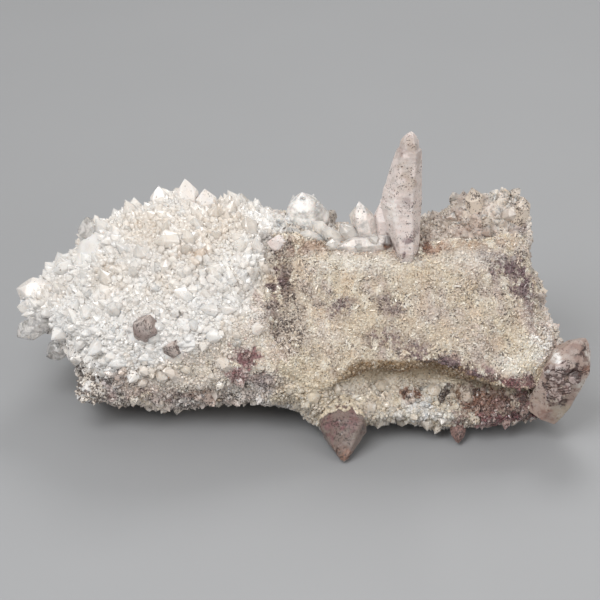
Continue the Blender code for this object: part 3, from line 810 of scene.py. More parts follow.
def gems(name, material, seed, colour=(*WHITE, 0.15), clear=(0, 1)):
    """A piece of points listed one by one, each from its root straight to its tip."""
    random = np.random.default_rng(seed)
    root, tip, radius = (np.array(column, float) * MM for column in zip(*GEMS[name]))
    count = len(radius)
    span = np.linalg.norm(tip - root, axis=1)
    direction = (tip - root) / span[:, None]
    colours = np.ones((count, 4)) * colour
    colours[:, :3] *= random.uniform(0.88, 1.05, (count, 1)) * (1, 0.97, 0.94)
    return crystals(name, material, root, direction, radius, span / radius,
                    *cuts(random, count, (0.9, 1.3), (0.85, 1), 0.3, 0.2), 0, colours,
                    random.uniform(*clear, count))


# Points too small for the solid, laid out like its large points.
SMALL_POINTS = {
    "end_step_a": ((125, -46, 33), (124.5, -57.5, 43.5), [(0, 4.4), (0.84, 4.2)]),
    "end_step_b": ((122, -46, 31), (118.5, -56, 40.5), [(0, 4.4), (0.82, 4.0)]),
    "end_step_c": ((124, -47, 30), (121.5, -59.5, 37.5), [(0, 4.6), (0.86, 4.2)]),
    "end_step_d": ((126, -48, 27), (124.5, -61, 33.5), [(0, 4.6), (0.88, 4.4)]),
    "end_step_e": ((122, -50, 25), (120, -62, 30), [(0, 4.6), (0.88, 4.2)]),
    "end_step_f": ((129, -47, 34), (130.5, -60, 38.5), [(0, 3.6), (0.9, 3.4)]),
    "brown_a": ((-72.5, -44, 53.5), (-73.5, -60, 69.5), [(0, 6.6), (0.5, 6.4)]),
    "brown_b": ((-60, -44, 44), (-60.5, -60.5, 56.5), [(0, 5), (0.6, 4.8)]),
}


def placed(key):
    """Root and tip of a large point in metres, its length, its direction, and its rings."""
    root, tip, rings = SMALL_POINTS[key] if key in SMALL_POINTS else LARGE_POINTS[key]
    root, tip = np.array(root, float) * MM, np.array(tip, float) * MM
    length = np.linalg.norm(tip - root)
    return root, tip, length, (tip - root) / length, rings


def studded(name, material, key, seed, count, radii, tall, shares=(0.3, 0.97), colour=(*WHITE, 0.05),
            seat=0.8):
    """A piece of small crystals that stand out all round one large point, between two shares of its length.

    Their feet lie at seat times its radius there, and they lean more towards its tip the higher they stand.
    """
    random = np.random.default_rng(seed)
    root, tip, _, axis, rings = placed(key)
    share = random.uniform(*shares, count)
    wide = np.interp(share, [ring[0] for ring in rings] + [1], [ring[1] for ring in rings] + [0]) * MM
    side = sideways(axis, random.uniform(0, 2 * math.pi, count))
    feet = root + (tip - root) * share[:, None] + side * (wide * seat)[:, None]
    direction = unit(side + axis * (0.2 + 1.2 * share[:, None]) + random.normal(0, 0.35, (count, 3)))
    radius = mostly_small(random, count, radii, 1.5)
    colours = np.ones((count, 4)) * colour
    colours[:, :3] *= random.uniform(0.86, 1.06, (count, 1))
    return crystals(name, material, feet, direction, radius, random.uniform(*tall, count),
                    *cuts(random, count, (0.7, 1.3), (0.75, 1), 0.5, 0.3), EMBEDDED, colours,
                    random.uniform(0, 1, count))


# ---------------------------------------------------------------- large points
# Finer rings where the solid has few: share of the length, radius, and shifts along X and Y, in millimetres.
FINE_RINGS = {
    "tall": [(0, 5.0, 0.8, -4), (0.1, 5.4, 0.8, -6), (0.16, 6.2, 0.6, -6.6), (0.22, 7.1, 0.2, -5.6),
             (0.28, 7.9, -0.6, -4.2), (0.35, 9.0, -1.5, -2.4), (0.42, 9.9, -2.3, -0.8), (0.48, 10.5, -2.8),
             (0.5, 10.2, -2.5), (0.58, 9.6, -2.4), (0.6, 9.2, -2.1), (0.72, 8.1, -1.4), (0.84, 6.7, -0.6),
             (0.868, 6.1, -0.5), (0.88, 5.0, -0.5), (0.9, 4.9, -0.5), (0.93, 4.6, -0.5), (0.96, 3.4, -0.4),
             (0.985, 1.8, -0.2)],
    "beside": [(0, 5.2), (0.3, 5.6), (0.62, 5.9), (0.76, 5.0)],
    "keel": [(0, 6), (0.3, 6.4), (0.45, 9), (0.55, 12.2), (0.64, 12.4), (0.72, 10), (0.88, 5.0), (0.95, 2.6)],
    "end": [(0, 8.6), (0.12, 10.6), (0.25, 11.4), (0.5, 11.8), (0.7, 11.4), (0.79, 9.4), (0.88, 6.8),
            (0.94, 3.8)],
}
MINOR_FACES = 0.22  # how much higher every other crown face would close, as a share of the crown
LAST_RING = 0.997  # share of the length at which the surface ends and a fan closes it at the tip
BANDS = 2.3  # growth bands, in radians for each millimetre along a point
FACE_SHIFT = 1.7  # and how far each face's bands are ahead of the last one's, in radians
WANDER = 21  # how fast the bands wander, in radians over a point's length
TERRACE_LEVELS = 3.5  # terraces for a ripple's rise of 1
POINT_SEED = 40
POINT_CLEARNESS = 0.5


def point_surface(key, seed, colour, speckle, sharp=26, growth=0.01, pits=0.0, terraces=0.0,
                  minor=MINOR_FACES, around=72):
    """One large point. At height z on its axis its section is r = (sum over six faces f of
    (max(0, cos(angle - f)) / d_f) ** sharp) ** (-1 / sharp), and d_f, the distance of that face, is the
    smaller of the prism's width there and the crown's slope times how far it has still to close. Growth
    steps then widen it in bands, terraces raise it by a ripple cut into steps, and pits are pushed in.
    """
    root, tip, length, direction, rings = placed(key)
    rings = FINE_RINGS.get(key, rings)
    random = np.random.default_rng(seed)
    knots = np.array([ring[0] for ring in rings])
    widths = np.array([ring[1] for ring in rings]) * MM * math.cos(math.pi / 6)
    shifts = np.array([(*ring[2:], 0, 0)[:2] for ring in rings] + [(0, 0)]) * MM
    share = np.unique(np.concatenate([np.linspace(0, 1, round(1.5 * around), endpoint=False), knots]))
    share = np.append(share, LAST_RING)
    share.sort()
    width = np.interp(share, knots, widths)
    shift_x, shift_y = (np.interp(share, np.append(knots, 1), shifts[:, k])[:, None] for k in (0, 1))
    crown = 1 - knots[-1]
    angle = np.arange(around) * 2 * math.pi / around
    number = np.arange(6)
    faces = number * math.pi / 3 + math.pi / 2 + math.pi / 6 + SOLID_ROLLS.get(key, 0)
    uneven = random.uniform(0.95, 1.03, 6)
    closing = (1 - share[:, None] + minor * crown * (number % 2)) / crown * widths[-1]
    distance = np.minimum(width[:, None] * uneven, closing)
    facing = np.maximum(np.cos(angle[:, None] - faces[None]), 1e-6)
    radial = ((facing[None] / distance[:, None]) ** sharp).sum(axis=-1) ** (-1 / sharp)
    which = np.argmax(facing, axis=1)
    swing = 2 * np.sin(share[:, None] * WANDER + which)
    step = np.sin(share[:, None] * length / MM * BANDS + which[None] * FACE_SHIFT + swing)
    step = np.sign(step) * np.abs(step) ** 0.4 * growth * between(share, 0.02, 0.1)[:, None]
    radial = radial * (1 + step * (share < knots[-1])[:, None])
    local = np.stack([radial * np.cos(angle) + shift_x, radial * np.sin(angle) + shift_y,
                      np.broadcast_to(share[:, None] * length, radial.shape)], axis=-1)
    points = turned(local, direction) + root
    outside = sideways(direction, angle)[None]
    if terraces:
        level = ripple(points, 9 * MM, seed + 7) + 0.25 * ripple(points, 2.4 * MM, seed + 8)
        level = level * TERRACE_LEVELS
        level = np.floor(level) + between(level - np.floor(level), 0.75, 1.0)
        thick = np.minimum(radial / (3 * MM), 1)
        points = points + outside * (level * terraces * MM * thick)[..., None]
    if pits:
        dents = between(ripple(points, 5.5 * MM, seed), 0.1, 0.4)
        dents = dents + 0.6 * between(ripple(points, 2.6 * MM, seed + 1), 0.15, 0.45)
        depth = np.minimum(dents * pits * MM, 0.35 * radial)
        points = points - outside * depth[..., None]
    points[..., 2] = np.maximum(points[..., 2], 0)
    rows, columns = points.shape[:2]
    index = np.arange(rows * columns).reshape(rows, columns)
    following = np.roll(index, -1, axis=1)
    quads = np.stack([index[:-1], following[:-1], following[1:], index[1:]], axis=-1).reshape(-1)
    apex, floor = rows * columns, rows * columns + 1
    cap = np.stack([index[-1], following[-1], np.full(columns, apex)], axis=-1).ravel()
    under = np.stack([following[0], index[0], np.full(columns, floor)], axis=-1).ravel()
    every = np.concatenate([points.reshape(-1, 3), tip[None], root[None]])
    colours = np.ones((len(every), 4)) * (*colour, speckle)
    rise = np.concatenate([np.repeat(share, columns), [1, 0]])
    run = np.concatenate([np.tile(angle / (2 * math.pi), rows), [0.5, 0.5]])
    loops = np.concatenate([quads, cap, under])
    sizes = np.concatenate([np.full((rows - 1) * columns, 4), np.full(2 * columns, 3)])
    return every, loops, sizes, colours, np.stack([run, rise], axis=-1)[loops], rise


# Marks on the large points, laid out like the stains.
MARKS = [
    ((53, -4, 135), (3, 6, 2.5), RUST, 0.7),
    ((49, -6, 132), (2.6, 6, 3), PLUM, 0.8),
    ((50, -9, 113), (6, 7, 6), GREY_PINK, 0.6),
    ((52, -9, 108), (3, 6, 3), VIOLET, 0.45),
    ((50, -9, 88.5), (4.5, 6, 2), VIOLET, 0.75),
    ((55, -9, 91), (2, 6, 3), VIOLET, 0.5),
    ((44, -9, 102), (3, 8, 10), WHITE, 0.5),
    ((132, -51, 47), (8, 10, 6), UMBER_GREY, 0.9),
    ((135.5, -54.6, 40), (7, 10, 4.5), DARK, 1.0),
    ((136.5, -54.6, 39.5), (4.5, 10, 3.5), RUST, 0.8),
    ((129, -56, 40), (5, 9, 2.4), DARK, 0.9),
    ((135, -52, 45), (2.6, 8, 4.5), UMBER, 0.9),
    ((141, -46, 42), (4, 12, 9), ASH, 1.0),
    ((137, -50, 29), (5, 12, 9), DEEP_ASH, 1.0),
    ((122, -59, 31), (6, 9, 6), UMBER, 0.9),
    ((120, -53, 46), (5, 9, 4.5), WHITE, 1.0),
    ((123, -59, 20), (10, 12, 8), KHAKI, 0.95),
    ((117, -59, 17), (4, 9, 6), OXBLOOD, 0.8),
    ((126, -58, 24.5), (9, 9, 2), UMBER, 0.7),
    # Painted shade of the gap left of the tall point's base.
    ((42.5, -9, 84.5), (3.2, 6, 3.2), GAP_SHADE_BLACK, 1.0),
    ((41, -9, 80), (4, 6, 2.5), RUST, 0.7),
    ((52, -4, 131), (10, 14, 14), DOVE, 0.85),
    ((52, -6, 134), (4, 8, 3), PEPPERED, 0.5),
    ((51, -7, 122), (6, 6, 5), PEPPERED, 0.45),
    ((50, -9, 115), (4, 6, 4), PEPPERED, 0.4),
    ((46, -17, 84), (1.3, 8, 5), PLUM_BLACK, 0.9),
    ((50, -17, 82), (1.1, 8, 4), VIOLET, 0.8),
    ((16, -62, 14), (5, 9, 6), PLUM, 0.7),
    ((24, -62, 18), (5, 9, 5), PLUM, 0.5),
    ((21, -72, 4), (5, 6, 4), RUST, 0.5),
]


def large_point(name, material, keys, colour, speckle=0.3, smooth=False, **form):
    """A piece of one or more large points, side by side in the bake layout, with the marks on them."""
    surfaces = [point_surface(key, POINT_SEED + number, colour, speckle, **form)
                for number, key in enumerate(keys)]
    points, loops, sizes, colours, uvs, rises = zip(*surfaces)
    starts = np.cumsum([0, *(len(each) for each in points)])
    loops = np.concatenate([each + start for each, start in zip(loops, starts)])
    uv = np.concatenate([(each + (number, 0)) / (len(keys), 1) for number, each in enumerate(uvs)])
    points = np.concatenate(points)
    colours = stained(np.concatenate(colours), points, MARKS)
    return build(name, points, loops, np.concatenate(sizes), material, colours, uv, np.concatenate(rises),
                 np.full(len(points), POINT_CLEARNESS), smooth)


# ---------------------------------------------------------------- shading
QUARTZ_IOR = 1.54
CRACK = 0.012  # how far from its middle value a noise still draws a crack


class Signal:
    """One shader value, with arithmetic that adds the nodes for it."""

    def __init__(self, shading, socket):
        self.shading = shading
        self.socket = socket

    def math(self, operation, first, second):
        return self.shading.node("ShaderNodeMath", {"operation": operation}, {0: first, 1: second})

    def __add__(self, other):
        return self.math("ADD", self, other)

    __radd__ = __add__

    def __sub__(self, other):
        return self.math("SUBTRACT", self, other)

    def __rsub__(self, other):
        return self.math("SUBTRACT", other, self)

    def __mul__(self, other):
        return self.math("MULTIPLY", self, other)

    __rmul__ = __mul__

    def __truediv__(self, other):
        return self.math("DIVIDE", self, other)

    def __rtruediv__(self, other):
        return self.math("DIVIDE", other, self)

    def size(self):
        return self.math("ABSOLUTE", self, 0)

    def fraction(self):
        return self.math("FRACT", self, 0)

    def step(self, low, high):
        """A smooth step from 0 at low to 1 at high."""
        return self.shading.node("ShaderNodeMapRange", {"interpolation_type": "SMOOTHSTEP"},
                                 {"Value": self, "From Min": low, "From Max": high})


class Shading:
    """A new node material, with one method that adds any node."""

    def __init__(self, name):
        self.material = bpy.data.materials.new(name)
        self.material.use_nodes = True
        self.tree = self.material.node_tree
        self.tree.nodes.clear()
        self.place = self.node("ShaderNodeTexCoord", {}, {}, "Object")

    def node(self, kind, settings, inputs, output=0):
        """Any node: its settings first, then the value or the link of each socket."""
        made = self.tree.nodes.new(kind)
        for key, value in settings.items():
            setattr(made, key, value)
        for key, value in inputs.items():
            if isinstance(value, Signal):
                self.tree.links.new(value.socket, made.inputs[key])
            else:
                made.inputs[key].default_value = value
        return Signal(self, made.outputs[output]) if len(made.outputs) else None

    def attribute(self, name, output="Fac"):
        """What the piece's own attribute of that name holds."""
        return self.node("ShaderNodeAttribute", {"attribute_name": name}, {}, output)

    def noise(self, pitch, detail=2.0, roughness=0.55, distortion=0.0):
        """Noise with features about a pitch wide, in millimetres."""
        return self.node("ShaderNodeTexNoise", {}, {
            "Vector": self.place, "Scale": 1 / (pitch * MM), "Detail": detail, "Roughness": roughness,
            "Distortion": distortion})

    def tint(self):
        """The piece's own tint, and how much dark speckle it carries."""
        return self.attribute("tint", "Color"), self.attribute("tint", "Alpha")

    def height(self):
        """The height above the floor."""
        return self.node("ShaderNodeSeparateXYZ", {}, {"Vector": self.place}, "Z")

    def mix(self, first, second, factor):
        """Colours mixed by a factor."""
        return self.node("ShaderNodeMix", {"data_type": "RGBA"}, {"Factor": factor, 6: first, 7: second}, 2)

    def bump(self, height, distance, strength):
        """A normal bumped by a height of that many millimetres."""
        return self.node("ShaderNodeBump", {},
                         {"Height": height, "Distance": distance * MM, "Strength": strength})

    def stone(self, **inputs):
        """A Principled shader with these inputs."""
        sockets = {key.replace("_", " "): value for key, value in inputs.items()}
        return self.node("ShaderNodeBsdfPrincipled", {}, sockets)

    def milk(self, weight, depth, spread, **inputs):
        """Quartz that scatters light inside: how much, how deep in millimetres, and how red, green and blue
        spread for each part of that depth.
        """
        return self.stone(IOR=QUARTZ_IOR, Subsurface_Weight=weight, Subsurface_Scale=depth * MM,
                          Subsurface_Radius=spread, **inputs)

    def glass(self, colour, roughness, **inputs):
        """Quartz that light goes straight through."""
        return self.stone(Base_Color=rgba(colour), Roughness=roughness, IOR=QUARTZ_IOR,
                          Transmission_Weight=1.0, **inputs)

    def blend(self, factor, first, second):
        """Two shaders mixed by a factor."""
        return self.node("ShaderNodeMixShader", {}, {0: factor, 1: first, 2: second})

    def finish(self, surface, **inside):
        """The material, with this surface and whatever fills its inside."""
        self.node("ShaderNodeOutputMaterial", {"target": "ALL"}, {"Surface": surface, **inside})
        return self.material


def rgba(colour):
    """A colour with full alpha."""
    return (*colour, 1)


def speckled(shading, colour, speckle, spot=1.1):
    """The colour with dark pepper in it, where the speckle amount lets it through."""
    pepper = shading.noise(spot, 3, 0.6)
    cloud = shading.noise(spot * 5, 2, 0.5)
    amount = (pepper + 0.5 * cloud + 0.24 * speckle).step(0.97, 1.03)
    return shading.mix(colour, rgba(DARK), amount * 0.85)


def cracks(shading, pitch):
    """Thin wandering lines: where a twisted noise passes its middle value."""
    return 1 - (shading.noise(pitch, 2, 0.5, 1.6) - 0.5).size().step(0, CRACK)


def milky_material(name, clearness, gloss=0.12, inner=0.85, depth=4.5):
    """Quartz that is white at its root and glassy towards its tip, with veils and thin cracks inside."""
    shading = Shading(name)
    tinted, speckle = shading.tint()
    rise, own = shading.attribute("rise"), shading.attribute("clear")
    veil = shading.noise(4.5, 3, 0.6, 0.6)
    colour = shading.mix(tinted, rgba((0.76, 0.70, 0.64)), (1 - veil.step(0.34, 0.56)) * 0.35)
    colour = shading.mix(colour, rgba((0.94, 0.935, 0.93)), veil.step(0.52, 0.72) * 0.5)
    colour = shading.mix(colour, rgba((0.42, 0.34, 0.29)), cracks(shading, 5) * 0.4)
    colour = speckled(shading, colour, speckle)
    frost = shading.noise(0.9, 3, 0.6)
    bump = shading.bump(shading.noise(0.5, 2, 0.5) + 0.6 * frost, 0.04, 0.5)
    solid = shading.milk(inner, depth, (1.0, 0.92, 0.85), Base_Color=colour,
                         Roughness=gloss + 0.3 * frost.step(0.5, 0.75), Normal=bump)
    glass = shading.glass((0.98, 0.975, 0.97), 0.05, Normal=bump)
    clear = (rise * 0.7 + veil * 0.7 + own * 0.5 - speckle * 0.6).step(0.75, 1.45) * clearness
    return shading.finish(shading.blend(clear, solid, glass))


def druse_material(name):
    """Sugary grains: their own tint, mottled, with dark pepper and glassy tips."""
    shading = Shading(name)
    tinted, speckle = shading.tint()
    mottle = shading.noise(2.4, 4, 0.65)
    clean = 1 - speckle.step(0.45, 0.8) * 0.75
    light = shading.mix(tinted, rgba((0.90, 0.87, 0.81)), mottle.step(0.5, 0.72) * clean * 0.5)
    colour = shading.mix(light, rgba((0.32, 0.24, 0.18)), (1 - mottle.step(0.3, 0.44)) * 0.35)
    colour = speckled(shading, colour, speckle, 0.9)
    fine = shading.noise(0.45, 3, 0.6)
    solid = shading.milk(0.3, 1.2, (1.0, 0.85, 0.7), Base_Color=colour,
                         Roughness=0.2 + 0.35 * fine.step(0.4, 0.7), Normal=shading.bump(fine, 0.1, 0.7))
    glass = shading.glass((0.97, 0.95, 0.92), 0.08)
    return shading.finish(shading.blend(shading.attribute("rise").step(0.6, 1.2) * 0.5, solid, glass))


def clear_material(name):
    """Clear quartz: plain transmission, a faint grey absorption, and milky veils inside."""
    shading = Shading(name)
    veil = shading.noise(3.4, 4, 0.6, 0.8)
    frost = shading.noise(0.8, 2, 0.5)
    glass = shading.glass((0.96, 0.955, 0.95), 0.03 + 0.12 * frost.step(0.55, 0.8),
                          Normal=shading.bump(frost, 0.03, 0.4))
    pale = shading.mix(rgba((0.76, 0.74, 0.72)), rgba((0.35, 0.3, 0.27)), cracks(shading, 4) * 0.3)
    milk = shading.milk(0.8, 3, (1.0, 0.95, 0.9), Base_Color=pale, Roughness=0.15)
    inside = shading.node("ShaderNodeVolumeAbsorption", {}, {"Color": (0.85, 0.84, 0.83, 1), "Density": 80})
    return shading.finish(shading.blend(0.25 + veil.step(0.38, 0.66) * 0.5, glass, milk), Volume=inside)


def frosted_material(name, clearness, pale, brown, fleck, spot=1.0, figures=0.0, inner=0.6, depth=3.0,
                     root=0.0):
    """A frosted point: its tint under pale clouds, with brown flecks and a waxy surface. Figures are etched
    steps where it is speckled: dark lines where height, bent by a noise and counted in steps, is just past a
    whole number. Root is how much painted shade darkens its foot, standing in for shade between the points.
    """
    shading = Shading(name)
    tinted, speckle = shading.tint()
    cloud = shading.noise(4.5, 4, 0.6)
    colour = shading.mix(tinted, rgba(pale), cloud.step(0.4, 0.65) * (1 - speckle.step(0.55, 0.8)) * 0.4)
    colour = shading.mix(colour, rgba(brown), shading.noise(3.1, 4, 0.7).step(0.54, 0.68) * fleck)
    colour = shading.mix(colour, rgba((0.30, 0.22, 0.20)), cracks(shading, 7) * 0.35)
    frost = shading.noise(0.5, 3, 0.6)
    height = frost + 0.5 * cloud
    if figures:
        level = (shading.height() / (1.9 * MM) + shading.noise(6, 2, 0.5) * 4.5).fraction()
        line = (1 - level.step(0.25, 0.5)) * shading.noise(5, 2).step(0.38, 0.5) * speckle.step(0.55, 0.66)
        colour = shading.mix(colour, rgba((0.07, 0.03, 0.025)), line * figures)
        height = height - line * 2
    # Painted shade: the foot is darkened, as if shade lay in the crevices where the points meet.
    if root:
        low = 1 - shading.attribute("rise").step(0.6, 0.8)
        colour = shading.mix(colour, rgba((0.13, 0.065, 0.055)), low * root)
    colour = speckled(shading, colour, speckle, spot)
    bump = shading.bump(height, 0.2 if figures else 0.08, 0.8)
    solid = shading.milk(inner, depth, (1.0, 0.85, 0.75), Base_Color=colour, Roughness=0.25 + 0.25 * frost,
                         Normal=bump)
    glass = shading.glass((0.95, 0.92, 0.9), 0.15, Normal=bump)
    clear = cloud.step(0.35, 0.7) * clearness * (1 - speckle.step(0.8, 0.95))
    return shading.finish(shading.blend(clear, solid, glass))


def vein_material(name):
    """The body under the crystals: rough vein quartz, whiter where it is milky."""
    shading = Shading(name)
    tinted, speckle = shading.tint()
    milk = shading.attribute("clear")
    mottle = shading.noise(3.5, 4, 0.6)
    brown = (1 - mottle.step(0.32, 0.5)) * (0.4 - 0.3 * milk)
    colour = speckled(shading, shading.mix(tinted, rgba((0.34, 0.25, 0.18)), brown), speckle)
    fine = shading.noise(0.6, 4, 0.65)
    bump = shading.bump(fine + 0.7 * mottle, 0.35, 0.7)
    return shading.finish(shading.milk(0.5, 3, (1.0, 0.85, 0.7), Base_Color=colour,
                                       Roughness=0.3 + 0.3 * fine, Normal=bump))


# ---------------------------------------------------------------- pieces
COLUMNS_PER_RAIL = 19
RELIEF_BASE_FADE = 3 * MM  # the body's relief fades out over this height above the base
RELIEF_END_FADE = 8 * MM  # and over this length at each end


def vein_body(material, x_step):
    """The body as one closed loft, its ends gathered to a point. It is sunk under the crystals by a depth for
    each region and roughened by ripples, most where few crystals cover it, less near its base and ends.
    """
    x = np.linspace(LENGTH_START, LENGTH_END, round((LENGTH_END - LENGTH_START) / x_step))
    around = np.concatenate([np.arange(FOOT * COLUMNS_PER_RAIL) / COLUMNS_PER_RAIL, [FOOT]])
    grid = body_grid(x, around)
    rail = np.broadcast_to(around, grid.shape[:2])
    field, _, _, crust, crest, under = regions(grid, rail)
    clear_of_base = np.clip(grid[..., 2] / RELIEF_BASE_FADE, 0, 1)
    clear_of_ends = np.clip(np.minimum(x - LENGTH_START, LENGTH_END - x) / RELIEF_END_FADE, 0, 1)[:, None]
    sink = 0.9 - 0.1 * field + 0.4 * crust + 0.3 * crest
    rough = 0.55 * ripple(grid, 7 * MM, 21) + 0.4 * ripple(grid, 3.2 * MM, 22)
    rough = rough + 0.25 * ripple(grid, 1.8 * MM, 23)
    bare = crust + crest + under
    away = (-sink + rough * (0.5 + 0.8 * bare)) * MM * clear_of_base * clear_of_ends
    points = grid + outward(grid) * away[..., None]
    points[..., 2] = np.maximum(points[..., 2], 0)
    rows, columns = points.shape[:2]
    index = np.arange(rows * columns).reshape(rows, columns)
    following = np.roll(index, -1, axis=1)
    quads = np.stack([index[:-1], index[1:], following[1:], following[:-1]], axis=-1).reshape(-1)
    first, last = rows * columns, rows * columns + 1
    fan_a = np.stack([np.full(columns, first), index[0], following[0]], axis=-1).ravel()
    fan_b = np.stack([np.full(columns, last), following[-1], index[-1]], axis=-1).ravel()
    ends = points[[0, -1]].mean(axis=1)
    every = np.concatenate([points.reshape(-1, 3), ends])
    loops = np.concatenate([quads, fan_a, fan_b])
    sizes = np.concatenate([np.full((rows - 1) * columns, 4), np.full(2 * columns, 3)])
    colours = tint(every, np.concatenate([rail.ravel(), [LEDGE, LEDGE]]))
    u = np.concatenate([np.repeat(np.linspace(0, 1, rows), columns), [0, 1]])
    v = np.concatenate([np.tile(np.arange(columns) / columns, rows), [0.5, 0.5]])
    milk = np.concatenate([field.ravel(), [1, 0]])
    uv = np.stack([u, v], axis=-1)[loops]
    return build("vein_body", every, loops, sizes, material, colours, uv, clear=milk, smooth=True)


def crust_glass(feet, around):
    """How thick the glassy points of the crust stand: a quarter, and up to all in a bell round x = 62 mm."""
    patch = np.exp(-(((feet[:, 0] / MM - 62) / 22) ** 2))
    return 0.25 + 0.75 * patch


def field_shards(feet, around):
    """How thick the larger points of the field stand: all, less 0.88 of them where it is sugary."""
    return 1 - 0.88 * sugary(feet) * until(around, BROW, CREST)


def field_sugar(feet, around):
    """How thick the fine grains of the field stand: all where it is sugary, and none elsewhere."""
    return sugary(feet)


def crest_sugar(feet, around):
    """How thick the fine grains of the crest stand: all, less 0.6 of them on the block at its right."""
    return 1 - 0.6 * between(feet[:, 0] / MM, 72, 80)


def crest_glass(feet, around):
    """Where the crest has glassy points: on the block at its right, and by the dome at its left."""
    x = feet[:, 0] / MM
    return np.maximum(between(x, 72, 80), until(x, 12, 20))


# ---------------------------------------------------------------- materials by name
MATERIALS = {
    "white_quartz": (milky_material, dict(clearness=0.12, gloss=0.05, inner=0.35, depth=1.3)),
    "milky_quartz": (milky_material, dict(clearness=0.3)),
    "glassy_quartz": (milky_material, dict(clearness=0.55, gloss=0.08)),
    "sugar_druse": (druse_material, {}),
    "clear_quartz": (clear_material, {}),
    "frosted_quartz": (frosted_material, dict(clearness=0.12, pale=(0.79, 0.735, 0.705),
                                              brown=(0.42, 0.29, 0.25), fleck=0.4, spot=0.8)),
    "veiled_quartz": (frosted_material, dict(clearness=0.55, pale=(0.90, 0.875, 0.85),
                                             brown=(0.5, 0.4, 0.36), fleck=0.2)),
    "veined_quartz": (frosted_material, dict(clearness=0.3, pale=(0.42, 0.36, 0.31),
                                             brown=(0.12, 0.055, 0.048), fleck=0.7)),
    # Its root value paints shade at the foot of the brown points.
    "smoky_quartz": (frosted_material, dict(clearness=0.35, pale=(0.66, 0.58, 0.54),
                                            brown=(0.14, 0.075, 0.065), fleck=0.9, inner=0.2, depth=1,
                                            root=0.5)),
    "etched_quartz": (frosted_material, dict(clearness=0.2, pale=(0.66, 0.585, 0.53),
                                             brown=(0.12, 0.055, 0.045), fleck=0.85, figures=0.9, inner=0.2,
                                             depth=1)),
    # Its root value paints shade at the foot of each step, to outline the steps.
    "stepped_quartz": (frosted_material, dict(clearness=0.3, pale=(0.62, 0.56, 0.54),
                                              brown=(0.14, 0.06, 0.05), fleck=0.8, figures=0.9, inner=0.1,
                                              depth=1, root=0.95)),
    "vein_quartz": (vein_material, {}),
}


def quartz(name):
    """The material of that name, made when it is first used."""
    if name not in bpy.data.materials:
        maker, settings = MATERIALS[name]
        maker(name, **settings)
    return bpy.data.materials[name]


# ---------------------------------------------------------------- settings
def colour_setting(name, description, default):
    """A colour that the user may change."""
    return bpy.props.FloatVectorProperty(name=name, description=description, default=default, min=0, max=1,
                                         subtype="COLOR", size=3)


def length_setting(name, description, default):
    """A length that the user may change, with its default in millimetres."""
    return bpy.props.FloatProperty(name=name, description=description, default=default * MM, min=0.2 * MM,
                                   unit="LENGTH", precision=5)


class QuartzColours(bpy.types.PropertyGroup):
    """Linear colours of the cluster's parts; specks, stains and veils are laid over them."""

    white: colour_setting("Milky white", "Crystals of the field, at the left", WHITE)
    warm: colour_setting("Warm white", "Clouds in the field, and the crest", WARM)
    tan: colour_setting("Tan", "Ground colour of the drusy plate", TAN)
    sand: colour_setting("Sand", "Sandy clouds in the plate and crust", SAND)
    cream: colour_setting("Cream", "Pale grains of the plate", CREAM)
    grey_pink: colour_setting("Grey pink", "Dull clouds in the plate and crust", GREY_PINK)
    # Painted shade under the ledge, in olive brown.
    olive_ledge_shade: colour_setting("Olive brown", "The hollow under the ledge", OLIVE_LEDGE_SHADE)
    crust_grey: colour_setting("Crust grey", "Ground colour of the crust under the ledge", CRUST_GREY)
    underside: colour_setting("Underside", "The broken rock below and behind", UNDERSIDE)
    tall: colour_setting("Tall point", "The tall frosted point", (0.68, 0.60, 0.57))
    beside: colour_setting("Points beside it", "The veiled points beside the tall one", (0.80, 0.74, 0.70))
    dome: colour_setting("Dome", "The rounded milky point on the crest", (0.86, 0.83, 0.80))
    peaks: colour_setting("Peaks", "The large milky points of the field", (0.84, 0.79, 0.75))
    brown: colour_setting("Brown points", "The two smoky points in the field", (0.60, 0.51, 0.47))
    keel: colour_setting("Keel point", "The dark point that hangs from the front", (0.22, 0.165, 0.145))
    end: colour_setting("End point", "The etched point at the right end", (0.35, 0.26, 0.22))


class QuartzSizes(bpy.types.PropertyGroup):
    """How far apart the small crystals of each part stand; closer ones take longer."""

    body_step: length_setting("Body step", "Length of the body's facets along X", 0.62)
    field: length_setting("Field shards", "Between the larger shards of the field", 2.6)
    fill: length_setting("Field fill", "Between the smaller shards of the field", 2.2)
    grains: length_setting("Field grains", "Between the grains that fill the field", 1.8)
    sugar: length_setting("Field sugar", "Between the fine grains low at the field's right", 1.25)
    hem: length_setting("Hem", "Between the points along the lower edges and up the right side", 2.4)
    plate: length_setting("Plate druse", "Between the grains of the plate", 1.15)
    # The plate's needles are white crystals that also stand in for its glints: partly painted highlight.
    needles: length_setting("Plate needles", "Between the white needles that lie on the plate", 4.4)
    hollow: length_setting("Hollow druse", "Between the grains of the hollow", 1.4)
    crust: length_setting("Crust druse", "Between the grains of the crust, crest and lower edge", 1.5)
    glassy: length_setting("Crust points", "Between the glassy points of the crust", 2.6)
    lumps: length_setting("Crest lumps", "Between the glassy lumps of the crest", 4.2)
    back: length_setting("Back points", "Between the points of the back", 2.8)


